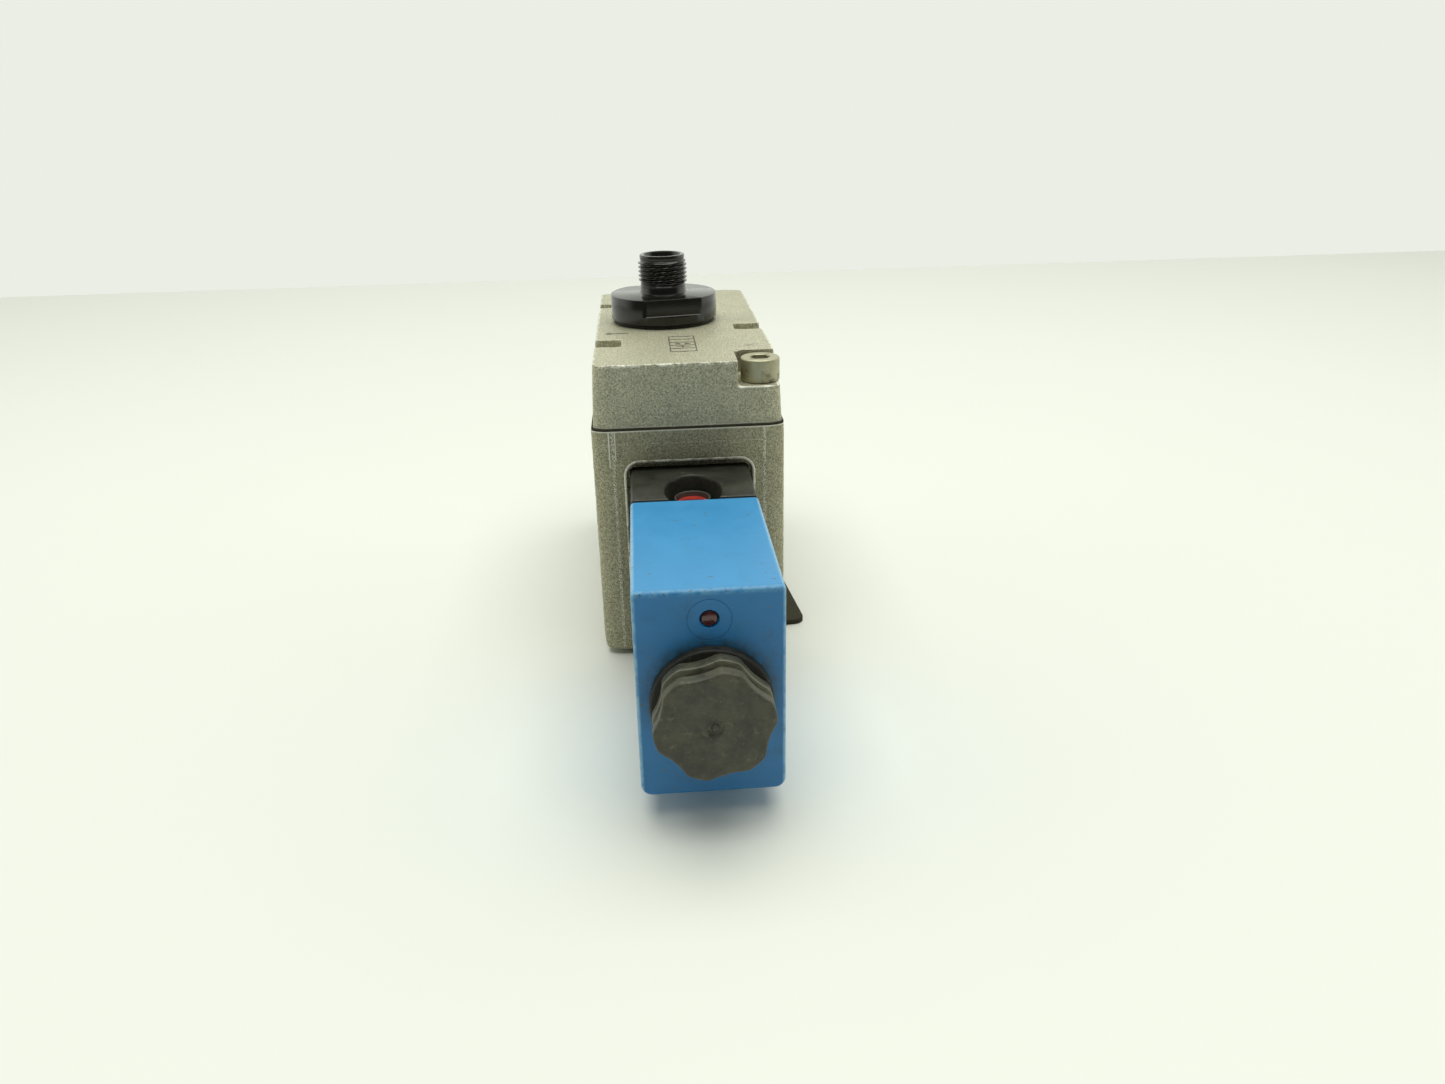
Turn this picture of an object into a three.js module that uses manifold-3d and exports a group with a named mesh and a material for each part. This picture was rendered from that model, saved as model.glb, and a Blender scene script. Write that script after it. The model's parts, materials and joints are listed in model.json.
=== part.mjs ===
// Solenoid-operated spool valve with a round M12 plug-in receptacle.
// Millimetres, +Z up. The origin is on the underside of the port gasket, at the
// middle of the body. The coil points along -Y and the spool slides along Y.
import * as THREE from 'three';
import { mergeVertices } from 'three/addons/utils/BufferGeometryUtils.js';
import Module from 'manifold-3d';

const wasm = await Module();
wasm.setup();

// ---- Driving dimensions ----------------------------------------------------------

const fitGap = 0.1; // between a piece and the seat or hole that holds it

const portGasket = { width: 41, length: 72.5, corner: 2.5, thick: 1.2, turn: 5.5, x: 3.5, y: 0.7 };

const body = { width: 42, length: 89, bottom: portGasket.thick, height: 52.85 };
body.top = body.bottom + body.height;
body.front = -body.length / 2;
body.rear = body.length / 2;
const cornerAcross = 4.7; // how far the soft vertical corners reach along X
const cornerDeep = 2.2; // and along Y

const pilotWindow = { halfWidth: 14, corner: 3, bottom: 3.7, top: 47, depth: 12 };
pilotWindow.back = body.front + pilotWindow.depth;

const coverGasket = { thick: 0.5, inset: 0.15 };
const cover = { height: 13.61, inset: 0.4, corner: 3.6, draft: 0.7, wall: 5.6 };
cover.bottom = body.top + coverGasket.thick;
cover.top = cover.bottom + cover.height;
cover.roof = cover.top - cover.wall;
const chamber = { halfWidth: 13.5, front: -26, rear: 30, floor: 34.5, corner: 3 };
const plugPassage = { halfWidth: 8, bottom: 38, top: 46 }; // from the pilot window to the chamber

// Cap screws that hold the cover: ISO 4762 M5 x 14.
const coverScrew = { radius: 2.45, headRadius: 4.25, headHeight: 5, length: 14, key: 4, keyDepth: 2.5 };
const coverScrewSeat = 62.6;
const coverScrewHoleFloor = coverScrewSeat - coverScrew.length - 0.4;
const coverScrewPlaces = {
  cover_screw_front: [16.25, -37.6],
  cover_screw_rear: [-11.5, 37.6],
};

const spoolHeight = 19; // centre line of the spool above the port face
const sleeve = { outer: 10.4, bore: 7.5, front: -22, rear: 32, grooveRadius: 9, grooveWidth: 1.8 };
const spoolBore = { radius: 10.5, back: 40 };
const ports = { pitch: 10, first: -15, count: 5, width: 3.9, length: 16 };
const spool = { landRadius: 7.3, neckRadius: 4.2, neckHalf: 2.6, end: 3, front: -28.2, rear: 33 };
const piston = { radius: 10.1, front: -32, rear: spool.front, groove: 1.6 };
const endCap = { halfWidth: 15, bottom: 4.4, top: 33.6, corner: 2, gasket: 0.8, plate: 3.7 };

const coilAxisHeight = 23.95;
const coil = { halfWidth: 13, bottom: 4.8, top: 45, rear: -63.2, front: -106.2, edge: 0.9 };
const coilGasketThick = 0.6;
const pilot = { halfWidth: 12.9, bottom: 4.8, top: 45, edge: 0.8 };
pilot.front = coil.rear + coilGasketThick;
pilot.gasket = 0.8;
pilot.rear = pilotWindow.back - pilot.gasket;

// The manual override stands in an oval well in the top of the pilot block, open at its front.
const well = { y: -57.7, across: 5.8, along: 9.2, floor: 34 };
const override = { y: -54.1, buttonRadius: 3.4, top: 41.35, thick: 2.6, stem: 1.5, stemBottom: 30 };
const overrideBush = { outer: 3.85, inner: 3.5, bore: 1.8, floor: 35, top: 42.1 };
const overrideSeal = { inner: 1.6, outer: 2.6, bottom: 32, top: 33.6 };
const stemHoleBottom = 27.6;

const tube = { outer: 4.6, inner: 4.05, front: -104, flange: 8, flangeThick: 1.8, thread: 6, end: -56.4 };
const nozzle = { radius: 3, bore: 0.6, rear: -50, shoulder: -56.6, tipRadius: 1.2, tip: -58.2 };
const armature = { radius: 3.9, front: -82.5, rear: -58.6, stroke: 1.5 };
const armatureSeat = { radius: 2.2, front: -60, rear: -58.4 };
const core = { rear: armature.front - armature.stroke, stud: 3, studEnd: -113.2 };
const springWellRadius = 1.8;
const springWellDepth = 6;

const nut = { ringRadius: 10.76, ringThick: 1.9, radius: 10.5, lobes: 6, valley: 9.68, turn: 13 };
nut.lobeHalf = THREE.MathUtils.degToRad(11);
nut.neck = 8.8; // between the two toothed discs
nut.back = coil.front - nut.ringThick;
nut.firstDeck = nut.back - 2.75;
nut.groove = nut.firstDeck - 2.5;
nut.front = nut.groove - 1.85;
const led = { height: 39.6, radius: 1.5, ring: 3.9, ringDeep: 0.3, depth: 3 };
const board = { halfWidth: 6, front: coil.front + 3.4, rear: coil.front + 5, bottom: 37.1, top: 42.4 };
const coilBore = 5.7;

// Front-mounted receptacle: M12 x 1 outside thread, 26 mm flange with two flats.
const receptacle = { x: -3.2, y: 3.7, seal: 0.75, flange: 13, flangeHeight: 6.04, shank: 7.4 };
receptacle.sealRadius = 12.5;
receptacle.bottom = cover.top + receptacle.seal;
receptacle.flangeTop = receptacle.bottom + receptacle.flangeHeight;
receptacle.threadRadius = 5.96;
receptacle.rootRadius = 5.4;
receptacle.bore = 4.25;
receptacle.flats = 11;
receptacle.flatTurn = 9.5;
receptacle.rim = cover.top + 16;

// ---- Materials -------------------------------------------------------------------

const finish = (color, roughness, metalness) => ({ color, roughness, metalness });
const finishes = {
  castAlloy: finish(0x8f8e78, 0.55, 0.75),
  blackPlastic: finish(0x2b2a26, 0.45, 0),
  greyPlastic: finish(0x46443a, 0.6, 0),
  bluePlastic: finish(0x1f7fd0, 0.4, 0),
  redPlastic: finish(0xb02a26, 0.4, 0),
  redLens: finish(0x6b1420, 0.15, 0),
  rubber: finish(0x1d1c19, 0.85, 0),
  fibre: finish(0x24241c, 0.8, 0),
  steel: finish(0xa7a496, 0.35, 1),
  springSteel: finish(0x9a9a98, 0.3, 1),
  brass: finish(0xb8964e, 0.35, 1),
  copper: finish(0xb0683a, 0.35, 1),
  aluminium: finish(0xb7b8b6, 0.35, 1),
  whitePlastic: finish(0xd8d6cc, 0.5, 0),
  board: finish(0x2c5a34, 0.5, 0),
  brownWire: finish(0x5b3a22, 0.5, 0),
  blueWire: finish(0x24508e, 0.5, 0),
  greenWire: finish(0x4f8f2e, 0.5, 0),
};

const valve = new THREE.Group();

function add(name, geometry, finishName) {
  const mesh = new THREE.Mesh(geometry, new THREE.MeshStandardMaterial(finishes[finishName]));
  mesh.name = name;
  valve.add(mesh);
  return mesh;
}

// ---- Shape helpers ---------------------------------------------------------------

function toSolid(geometry) {
  const bare = geometry.clone();
  bare.deleteAttribute('normal');
  bare.deleteAttribute('uv');
  const merged = mergeVertices(bare, 1e-4);
  const kept = [];
  const corners = merged.index.array;
  for (let i = 0; i < corners.length; i += 3) {
    const [a, b, c] = [corners[i], corners[i + 1], corners[i + 2]];
    if (a !== b && b !== c && c !== a) kept.push(a, b, c);
  }
  return new wasm.Manifold(new wasm.Mesh({
    numProp: 3,
    vertProperties: merged.attributes.position.array,
    triVerts: new Uint32Array(kept),
  }));
}

function toGeometry(solid) {
  const mesh = solid.getMesh();
  const geometry = new THREE.BufferGeometry();
  geometry.setAttribute('position', new THREE.BufferAttribute(new Float32Array(mesh.vertProperties), 3));
  geometry.setIndex(new THREE.BufferAttribute(new Uint32Array(mesh.triVerts), 1));
  geometry.computeVertexNormals();
  return geometry;
}

function cut(blank, tools) {
  let solid = toSolid(blank);
  for (const tool of tools) solid = solid.subtract(toSolid(tool));
  return toGeometry(solid);
}

function join(pieces) {
  let solid = toSolid(pieces[0]);
  for (const piece of pieces.slice(1)) solid = solid.add(toSolid(piece));
  return toGeometry(solid);
}

function box([x0, x1], [y0, y1], [z0, z1]) {
  const geometry = new THREE.BoxGeometry(x1 - x0, y1 - y0, z1 - z0);
  return geometry.translate((x0 + x1) / 2, (y0 + y1) / 2, (z0 + z1) / 2);
}

// An upright cylinder at (x, y), or one along Y at (x, z).
function uprightRod(radius, [x, y], [z0, z1], sides = 16) {
  const geometry = new THREE.CylinderGeometry(radius, radius, z1 - z0, sides);
  return geometry.rotateX(Math.PI / 2).translate(x, y, (z0 + z1) / 2);
}

function levelRod(radius, [x, z], [y0, y1], sides = 16) {
  const geometry = new THREE.CylinderGeometry(radius, radius, y1 - y0, sides);
  return geometry.translate(x, (y0 + y1) / 2, z);
}

// Turned shapes: the profile is [radius, distance along the axis] in order. A closed
// profile away from the axis makes a ring.
function turned(profile, sides, closed) {
  const points = profile.map(([r, along]) => new THREE.Vector2(r, along));
  if (closed) points.push(points[0].clone());
  const geometry = new THREE.LatheGeometry(points, sides);
  return outward(geometry);
}

// Lathe faces point out only when the profile runs upwards, so the winding is turned
// where the enclosed volume comes out negative.
function outward(geometry) {
  const position = geometry.attributes.position;
  const index = geometry.index;
  const [a, b, c] = [new THREE.Vector3(), new THREE.Vector3(), new THREE.Vector3()];
  let volume = 0;
  for (let i = 0; i < index.count; i += 3) {
    a.fromBufferAttribute(position, index.getX(i));
    b.fromBufferAttribute(position, index.getX(i + 1));
    c.fromBufferAttribute(position, index.getX(i + 2));
    volume += a.dot(b.cross(c));
  }
  if (volume < 0) {
    for (let i = 0; i < index.count; i += 3) {
      const first = index.getX(i);
      index.setX(i, index.getX(i + 2));
      index.setX(i + 2, first);
    }
  }
  return geometry;
}

function levelTurned(profile, height, sides = 18, closed = false) {
  return turned(profile, sides, closed).translate(0, 0, height);
}

function uprightTurned(profile, [x, y], sides = 18, closed = false) {
  return turned(profile, sides, closed).rotateX(Math.PI / 2).translate(x, y, 0);
}

function ring(inner, outer, from, to) {
  return [[inner, from], [outer, from], [outer, to], [inner, to]];
}

// A rectangle whose corners are quarter ellipses.
function softRectangle(x0, x1, y0, y1, across, deep = across) {
  const shape = new THREE.Shape();
  shape.moveTo(x0 + across, y0);
  shape.lineTo(x1 - across, y0);
  shape.absellipse(x1 - across, y0 + deep, across, deep, -Math.PI / 2, 0, false);
  shape.lineTo(x1, y1 - deep);
  shape.absellipse(x1 - across, y1 - deep, across, deep, 0, Math.PI / 2, false);
  shape.lineTo(x0 + across, y1);
  shape.absellipse(x0 + across, y1 - deep, across, deep, Math.PI / 2, Math.PI, false);
  shape.lineTo(x0, y0 + deep);
  shape.absellipse(x0 + across, y0 + deep, across, deep, Math.PI, Math.PI * 1.5, false);
  return shape;
}

function upright(shape, [z0, z1], curveSegments = 3) {
  const geometry = new THREE.ExtrudeGeometry(shape, { depth: z1 - z0, bevelEnabled: false, curveSegments });
  return geometry.translate(0, 0, z0);
}

// A shape drawn in X and Z, extruded along Y.
function level(shape, [y0, y1], curveSegments = 2) {
  const geometry = new THREE.ExtrudeGeometry(shape, { depth: y1 - y0, bevelEnabled: false, curveSegments });
  return geometry.rotateX(Math.PI / 2).translate(0, y1, 0);
}

// Draws the sides in towards the top, as a casting needs to leave its mould.
function drafted(geometry, [z0, z1], inset) {
  const position = geometry.attributes.position;
  for (let i = 0; i < position.count; i += 1) {
    const raised = (position.getZ(i) - z0) / (z1 - z0);
    position.setX(i, position.getX(i) * (1 - (inset * raised) / (body.width / 2)));
    position.setY(i, position.getY(i) * (1 - (inset * raised) / (body.length / 2)));
  }
  return geometry;
}

function socketCap({ radius, headRadius, headHeight, length, key, keyDepth }) {
  const blank = turned([[0, -length], [radius, -length], [radius, 0], [headRadius, 0],
    [headRadius, headHeight - 0.4], [headRadius - 0.4, headHeight], [0, headHeight]], 18, false);
  const socket = new THREE.CylinderGeometry(key / Math.sqrt(3), key / Math.sqrt(3), keyDepth + 1, 6);
  socket.translate(0, headHeight - keyDepth / 2 + 0.5, 0);
  return cut(blank, [socket]);
}

function helix(radius, wire, turns, length, stepsPerTurn = 7) {
  class Helix extends THREE.Curve {
    getPoint(t, target = new THREE.Vector3()) {
      const angle = 2 * Math.PI * turns * t;
      return target.set(radius * Math.cos(angle), length * t, radius * Math.sin(angle));
    }
  }
  const section = new THREE.Shape();
  section.absarc(0, 0, wire / 2, 0, 2 * Math.PI, false);
  return new THREE.ExtrudeGeometry(section, {
    steps: Math.round(turns * stepsPerTurn),
    extrudePath: new Helix(),
    curveSegments: 2,
  });
}

// ---- Port gasket, body, cover ----------------------------------------------------

const portPlaces = [];
for (let i = 0; i < ports.count; i += 1) portPlaces.push(ports.first + i * ports.pitch);

function portSlot(y, [z0, z1]) {
  const half = ports.width / 2;
  const shape = softRectangle(-ports.length / 2, ports.length / 2, y - half, y + half, half - 0.01);
  return upright(shape, [z0, z1], 1);
}

function makePortGasket() {
  const { width, length, corner, thick, turn } = portGasket;
  const sheet = upright(softRectangle(-width / 2, width / 2, -length / 2, length / 2, corner), [0, thick]);
  const geometry = cut(sheet, portPlaces.map((y) => portSlot(y, [-1, thick + 1])));
  return geometry.rotateZ(THREE.MathUtils.degToRad(turn)).translate(portGasket.x, portGasket.y, 0);
}

function chamberOutline() {
  const { halfWidth, front, rear, corner } = chamber;
  return softRectangle(-halfWidth, halfWidth, front, rear, corner);
}

function endCapOutline(gap) {
  const { halfWidth, bottom, top, corner } = endCap;
  return softRectangle(-halfWidth + gap, halfWidth - gap, bottom + gap, top - gap, corner);
}

function makeBody() {
  const halfWidth = body.width / 2;
  const outline = softRectangle(-halfWidth, halfWidth, body.front, body.rear, cornerAcross, cornerDeep);
  const blank = upright(outline, [body.bottom, body.top]);
  const { halfWidth: windowHalf, corner, bottom, top, back } = pilotWindow;
  const opening = softRectangle(-windowHalf, windowHalf, bottom, top, corner);
  const passage = [plugPassage.bottom, plugPassage.top];
  const tools = [
    level(opening, [body.front - 1, back]),
    upright(chamberOutline(), [chamber.floor, body.top + 1]),
    box([-plugPassage.halfWidth, plugPassage.halfWidth], [back - 1, chamber.front + 1], passage),
    levelRod(spoolBore.radius, [0, spoolHeight], [back - 1, spoolBore.back + 1], 24),
    level(endCapOutline(0), [spoolBore.back, body.rear + 1]),
  ];
  for (const y of portPlaces) tools.push(portSlot(y, [body.bottom - 1, spoolHeight]));
  for (const [x, y] of Object.values(coverScrewPlaces)) {
    tools.push(uprightRod(coverScrew.radius + fitGap, [x, y], [coverScrewHoleFloor, body.top + 1], 20));
  }
  for (const [x, z, end] of Object.values(pilotScrewPlaces)) {
    tools.push(levelRod(pilotScrew.radius + fitGap, [x, z], [back - 1, end + 0.5], 16));
  }
  for (const [x, z] of Object.values(capScrewPlaces)) {
    tools.push(levelRod(capScrew.radius + fitGap, [x, z], [capScrewHoleEnd, spoolBore.back + 1], 16));
  }
  return cut(blank, tools);
}

function coverOutline(inset) {
  const halfWidth = body.width / 2 - inset;
  const [front, rear] = [body.front + inset, body.rear - inset];
  return softRectangle(-halfWidth, halfWidth, front, rear, cover.corner, cornerDeep);
}

function makeCoverGasket() {
  const sheet = upright(coverOutline(coverGasket.inset), [body.top, cover.bottom]);
  const through = [body.top - 1, cover.bottom + 1];
  const tools = [upright(chamberOutline(), through)];
  for (const [x, y] of Object.values(coverScrewPlaces)) {
    tools.push(uprightRod(coverScrewHole, [x, y], through, 20));
  }
  return cut(sheet, tools);
}

// Small open recesses in the cover's long edges: [x0, x1], [y0, y1].
const coverRecesses = [
  [[-25, -13.9], [-24.8, -17.9]],
  [[13.4, 25], [-10.5, -3.7]],
  [[-25, -15], [22.1, 27.1]],
];
const recessFloor = 65.2;

// Deeper pockets for the screw heads, open at the cover's ends.
const screwPockets = [
  [[11.1, 25], [-50, -32.8]],
  [[-16.9, -6.1], [32.2, 50]],
];
const coverScrewHole = coverScrew.radius + 0.3;

function makeCover() {
  const heights = [cover.bottom, cover.top];
  const blank = drafted(upright(coverOutline(cover.inset), heights), heights, cover.draft);
  const over = cover.top + 1;
  const tools = [
    upright(chamberOutline(), [cover.bottom - 1, cover.roof]),
    uprightRod(receptacle.shank + fitGap, [receptacle.x, receptacle.y], [cover.roof - 1, over], 32),
  ];
  for (const [xs, ys] of screwPockets) tools.push(box(xs, ys, [coverScrewSeat, over]));
  for (const [xs, ys] of coverRecesses) tools.push(box(xs, ys, [recessFloor, over]));
  for (const [x, y] of Object.values(coverScrewPlaces)) {
    tools.push(uprightRod(coverScrewHole, [x, y], [cover.bottom - 1, cover.top], 20));
  }
  return cut(blank, tools);
}

// ---- Main stage: sleeve, spool, piston, return spring, end cap ---------------------

const capScrew = { radius: 1.9, headRadius: 3.4, headHeight: 2.2, length: 10, key: 2.5, keyDepth: 1.3 };
const capScrewHoleEnd = 28;
const capScrewSeat = body.rear - capScrew.headHeight - 0.1;
const capScrewPlaces = { end_cap_screw_high: [11, 29.7], end_cap_screw_low: [-11, 8.3] };
const sealPlaces = [];
for (let i = 0; i <= ports.count; i += 1) sealPlaces.push(ports.first + (i - 0.5) * ports.pitch);

function makeSleeve() {
  const profile = [[sleeve.bore, sleeve.front], [sleeve.outer, sleeve.front],
    [sleeve.outer, sleeve.rear], [sleeve.bore, sleeve.rear]];
  for (const y of [...sealPlaces].reverse()) {
    const half = sleeve.grooveWidth / 2;
    profile.push([sleeve.bore, y + half], [sleeve.grooveRadius, y + half]);
    profile.push([sleeve.grooveRadius, y - half], [sleeve.bore, y - half]);
  }
  const half = ports.width / 2;
  const windowHalf = 4;
  const reach = sleeve.outer + 1;
  const tools = [];
  for (const y of portPlaces) {
    tools.push(box([-reach, reach], [y - half, y + half], [-windowHalf, windowHalf]));
    tools.push(box([-windowHalf, windowHalf], [y - half, y + half], [-reach, reach]));
  }
  return cut(turned(profile, 18, true), tools).translate(0, 0, spoolHeight);
}

function makeSeal(y) {
  const half = sleeve.grooveWidth / 2 - 0.05;
  const profile = ring(sleeve.bore - 0.08, sleeve.grooveRadius - fitGap, y - half, y + half);
  return levelTurned(profile, spoolHeight, 18, true);
}

// The lands stand under the seals between the ports; the necks let the air past.
function makeSpool() {
  const { landRadius, neckRadius, neckHalf, end, front, rear } = spool;
  const profile = [[0, front], [end, front], [end, front + 3], [landRadius, front + 3]];
  for (const y of [portPlaces[0], portPlaces[1] + 3, portPlaces[3] - 3, portPlaces[4]]) {
    profile.push([landRadius, y - neckHalf], [neckRadius, y - neckHalf + 1]);
    profile.push([neckRadius, y + neckHalf - 1], [landRadius, y + neckHalf]);
  }
  profile.push([landRadius, rear - 2], [end, rear - 2], [end, rear], [0, rear]);
  return levelTurned(profile, spoolHeight, 18);
}

function makePiston() {
  const { radius, front, rear, groove } = piston;
  const grooveFront = (front + rear - groove) / 2;
  const grooveRear = (front + rear + groove) / 2;
  const profile = [[0, front], [radius, front], [radius, grooveFront], [radius - 1.6, grooveFront],
    [radius - 1.6, grooveRear], [radius, grooveRear], [radius, rear], [0, rear]];
  return levelTurned(profile, spoolHeight);
}

function makePistonSeal() {
  const middle = (piston.front + piston.rear) / 2;
  const profile = ring(piston.radius - 1.5, piston.radius + 0.2, middle - 0.7, middle + 0.7);
  return levelTurned(profile, spoolHeight, 18, true);
}

function makeEndCap() {
  const { gasket, plate } = endCap;
  const front = body.rear - plate;
  const collar = levelTurned(ring(5.2, 7, spoolBore.back - 3, front + 0.5), spoolHeight, 24, true);
  const tools = [];
  for (const [x, z] of Object.values(capScrewPlaces)) {
    tools.push(levelRod(capScrew.radius + 0.2, [x, z], [front - gasket, body.rear + 1], 16));
    tools.push(levelRod(capScrew.headRadius + 0.2, [x, z], [capScrewSeat, body.rear + 1], 20));
  }
  return cut(join([level(endCapOutline(0.2), [front, body.rear]), collar]), tools);
}

function makeEndCapGasket() {
  const { gasket } = endCap;
  const through = [spoolBore.back - 1, spoolBore.back + gasket + 1];
  const tools = [levelRod(7.3, [0, spoolHeight], through, 24)];
  for (const [x, z] of Object.values(capScrewPlaces)) {
    tools.push(levelRod(capScrew.radius + 0.2, [x, z], through, 16));
  }
  return cut(level(endCapOutline(0.3), [spoolBore.back, spoolBore.back + gasket]), tools);
}

// ---- Pilot block and manual override ----------------------------------------------

const plug = { halfWidth: 6.5, bottom: 39.4, top: 43.4, rear: -29.4 }; // of the wiring

const pilotScrew = { radius: 1.5, headRadius: 2.6, headHeight: 2.6, length: 32, key: 2.5, keyDepth: 1.5 };
const pilotScrewSeat = pilot.front + 2.8;
// [x, z, y of the tip]: the upper screw is the shorter, to stay out of the wiring chamber.
const pilotScrewPlaces = {
  pilot_screw_high: [9.6, 33, -27.8],
  pilot_screw_low: [-9.6, 8, -27.8],
};
const terminal = { x: 9.5, z: 39, halfThick: 0.4, halfHigh: 1.4, front: -74, rear: -52 };

// One box round each of the two blades, with this much room on every side.
function terminalSlots(room, depth) {
  const [thick, high] = [terminal.halfThick + room, terminal.halfHigh + room];
  return [-terminal.x, terminal.x].map(
    (x) => box([x - thick, x + thick], depth, [terminal.z - high, terminal.z + high]),
  );
}

function makePilotBlock() {
  const shape = softRectangle(-pilot.halfWidth, pilot.halfWidth, pilot.bottom, pilot.top, pilot.edge);
  const oval = new THREE.Shape();
  oval.absellipse(0, well.y, well.across, well.along, 0, 2 * Math.PI, false);
  const inFront = pilot.front - 1;
  const intoWell = well.floor + 0.5;
  const threadEnd = tube.end + 0.2;
  const tools = [
    upright(oval, [well.floor, pilot.top + 1], 14),
    uprightRod(overrideSeal.outer + fitGap, [0, override.y], [overrideSeal.bottom - 0.2, intoWell], 20),
    uprightRod(overrideBush.bore, [0, override.y], [stemHoleBottom, intoWell], 16),
    levelRod(tube.thread + fitGap, [0, coilAxisHeight], [inFront, threadEnd], 28),
    levelRod(nozzle.radius + fitGap, [0, coilAxisHeight], [threadEnd - 0.2, nozzle.rear + 0.2], 20),
    levelRod(1.5, [0, coilAxisHeight], [nozzle.rear, pilot.rear + 1], 12),
  ];
  for (const [x, z] of Object.values(pilotScrewPlaces)) {
    tools.push(levelRod(pilotScrew.headRadius + 0.15, [x, z], [inFront, pilotScrewSeat], 20));
    tools.push(levelRod(pilotScrew.radius + 0.15, [x, z], [inFront, pilot.rear + 1], 16));
  }
  tools.push(...terminalSlots(0.2, [inFront, terminal.rear + 0.5]));
  return cut(level(shape, [pilot.front, pilot.rear]), tools);
}

function makePilotGasket() {
  const gap = 0.4;
  const [low, high] = [pilot.bottom + gap, pilot.top - gap];
  const shape = softRectangle(-pilot.halfWidth + gap, pilot.halfWidth - gap, low, high, 1);
  const through = [pilot.rear - 1, pilotWindow.back + 1];
  const plugRoom = [plug.bottom - 0.8, plug.top + 0.6];
  const tools = [
    levelRod(2.4, [0, coilAxisHeight], through, 16),
    box([-plug.halfWidth - 0.9, plug.halfWidth + 0.9], through, plugRoom),
  ];
  for (const [x, z] of Object.values(pilotScrewPlaces)) {
    tools.push(levelRod(pilotScrew.radius + 0.2, [x, z], through, 16));
  }
  return cut(level(shape, [pilot.rear, pilotWindow.back]), tools);
}

function makeOverrideButton() {
  const { buttonRadius, top, thick, stem, stemBottom } = override;
  const head = top - thick;
  const profile = [[0, stemBottom], [stem - 0.4, stemBottom], [stem, stemBottom + 0.6], [stem, head],
    [buttonRadius, head], [buttonRadius, top - 0.5], [buttonRadius - 0.5, top], [0, top]];
  const slot = box([-2.4, 2.4], [override.y - 0.5, override.y + 0.5], [top - 0.8, top + 1]);
  return cut(uprightTurned(profile, [0, override.y], 20), [slot]);
}

function makeOverrideBush() {
  const { outer, inner, bore, floor, top } = overrideBush;
  const profile = [[bore, well.floor], [outer, well.floor], [outer, top - 0.1], [outer - 0.1, top],
    [inner, top], [inner, floor], [bore, floor]];
  return uprightTurned(profile, [0, override.y], 20, true);
}

function makeOverrideSeal() {
  const { inner, outer, bottom, top } = overrideSeal;
  return uprightTurned(ring(inner, outer, bottom, top), [0, override.y], 20, true);
}

// ---- Solenoid: tube, core, armature, coil, nut --------------------------------------

function makeTube() {
  const { outer, inner, front, flange, flangeThick, end } = tube;
  const seat = pilot.front;
  const shoulder = seat - flangeThick;
  const profile = [[inner, end], [tube.thread, end], [tube.thread, seat], [flange, seat],
    [flange, shoulder], [outer, shoulder], [outer, front], [inner, front]];
  return levelTurned(profile, coilAxisHeight, 20, true);
}

function makeCore() {
  const radius = tube.inner - fitGap;
  const springWell = core.rear - springWellDepth;
  const profile = [[0, springWell], [springWellRadius, springWell], [springWellRadius, core.rear],
    [radius, core.rear], [radius, tube.front], [tube.outer, tube.front], [tube.outer, coil.front],
    [core.stud, coil.front], [core.stud, core.studEnd + 0.5], [core.stud - 0.5, core.studEnd],
    [0, core.studEnd]];
  return levelTurned(profile, coilAxisHeight, 24);
}

function makeArmature() {
  const { radius, front, rear } = armature;
  const springWell = front + 8;
  const seatRadius = armatureSeat.radius + fitGap;
  const seatFloor = armatureSeat.front - fitGap;
  const profile = [[0, springWell], [springWellRadius, springWell], [springWellRadius, front],
    [radius, front], [radius, rear - 0.5], [radius - 0.5, rear], [seatRadius, rear],
    [seatRadius, seatFloor], [0, seatFloor]];
  return levelTurned(profile, coilAxisHeight, 24);
}

function makeArmatureSeat() {
  const { radius, front, rear } = armatureSeat;
  return levelTurned([[0, front], [radius, front], [radius, rear], [0, rear]], coilAxisHeight, 20);
}

function makeNozzle() {
  const { radius, bore, rear, shoulder, tipRadius, tip } = nozzle;
  const profile = [[bore, rear], [radius, rear], [radius, shoulder], [tipRadius, tip], [bore, tip]];
  return levelTurned(profile, coilAxisHeight, 20, true);
}

function makeCoilHousing() {
  const { halfWidth, bottom, top, rear, front, edge } = coil;
  const shape = softRectangle(-halfWidth, halfWidth, bottom, top, edge);
  const room = [coilAxisHeight + yoke.low - 0.2, coilAxisHeight + yoke.high + 0.6];
  const roomHalf = yoke.halfWidth + 0.6;
  const boardHalf = board.halfWidth + 0.2;
  const boardRoom = [board.bottom - 0.2, board.top + 0.2];
  const tools = [
    box([-roomHalf, roomHalf], [front + 2.6, rear - 2.6], room),
    levelRod(coilBore, [0, coilAxisHeight], [front - 1, rear + 1], 28),
    levelRod(tube.flange + 0.3, [0, coilAxisHeight], [rear - tube.flangeThick + 0.2, rear + 1], 28),
    levelRod(led.ring, [0, led.height], [front - 1, front + led.ringDeep], 28),
    levelRod(led.radius + fitGap, [0, led.height], [front - 1, front + 4.2], 16),
    box([-boardHalf, boardHalf], [board.front - 0.2, board.rear + 0.4], boardRoom),
    ...terminalSlots(fitGap, [terminal.front - 0.2, rear + 1]),
  ];
  return cut(level(shape, [front, rear]), tools);
}

const yoke = { halfWidth: 10.6, low: -12.4, high: 11.6, thick: 1.6, front: -103.4, rear: -66 };

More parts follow.
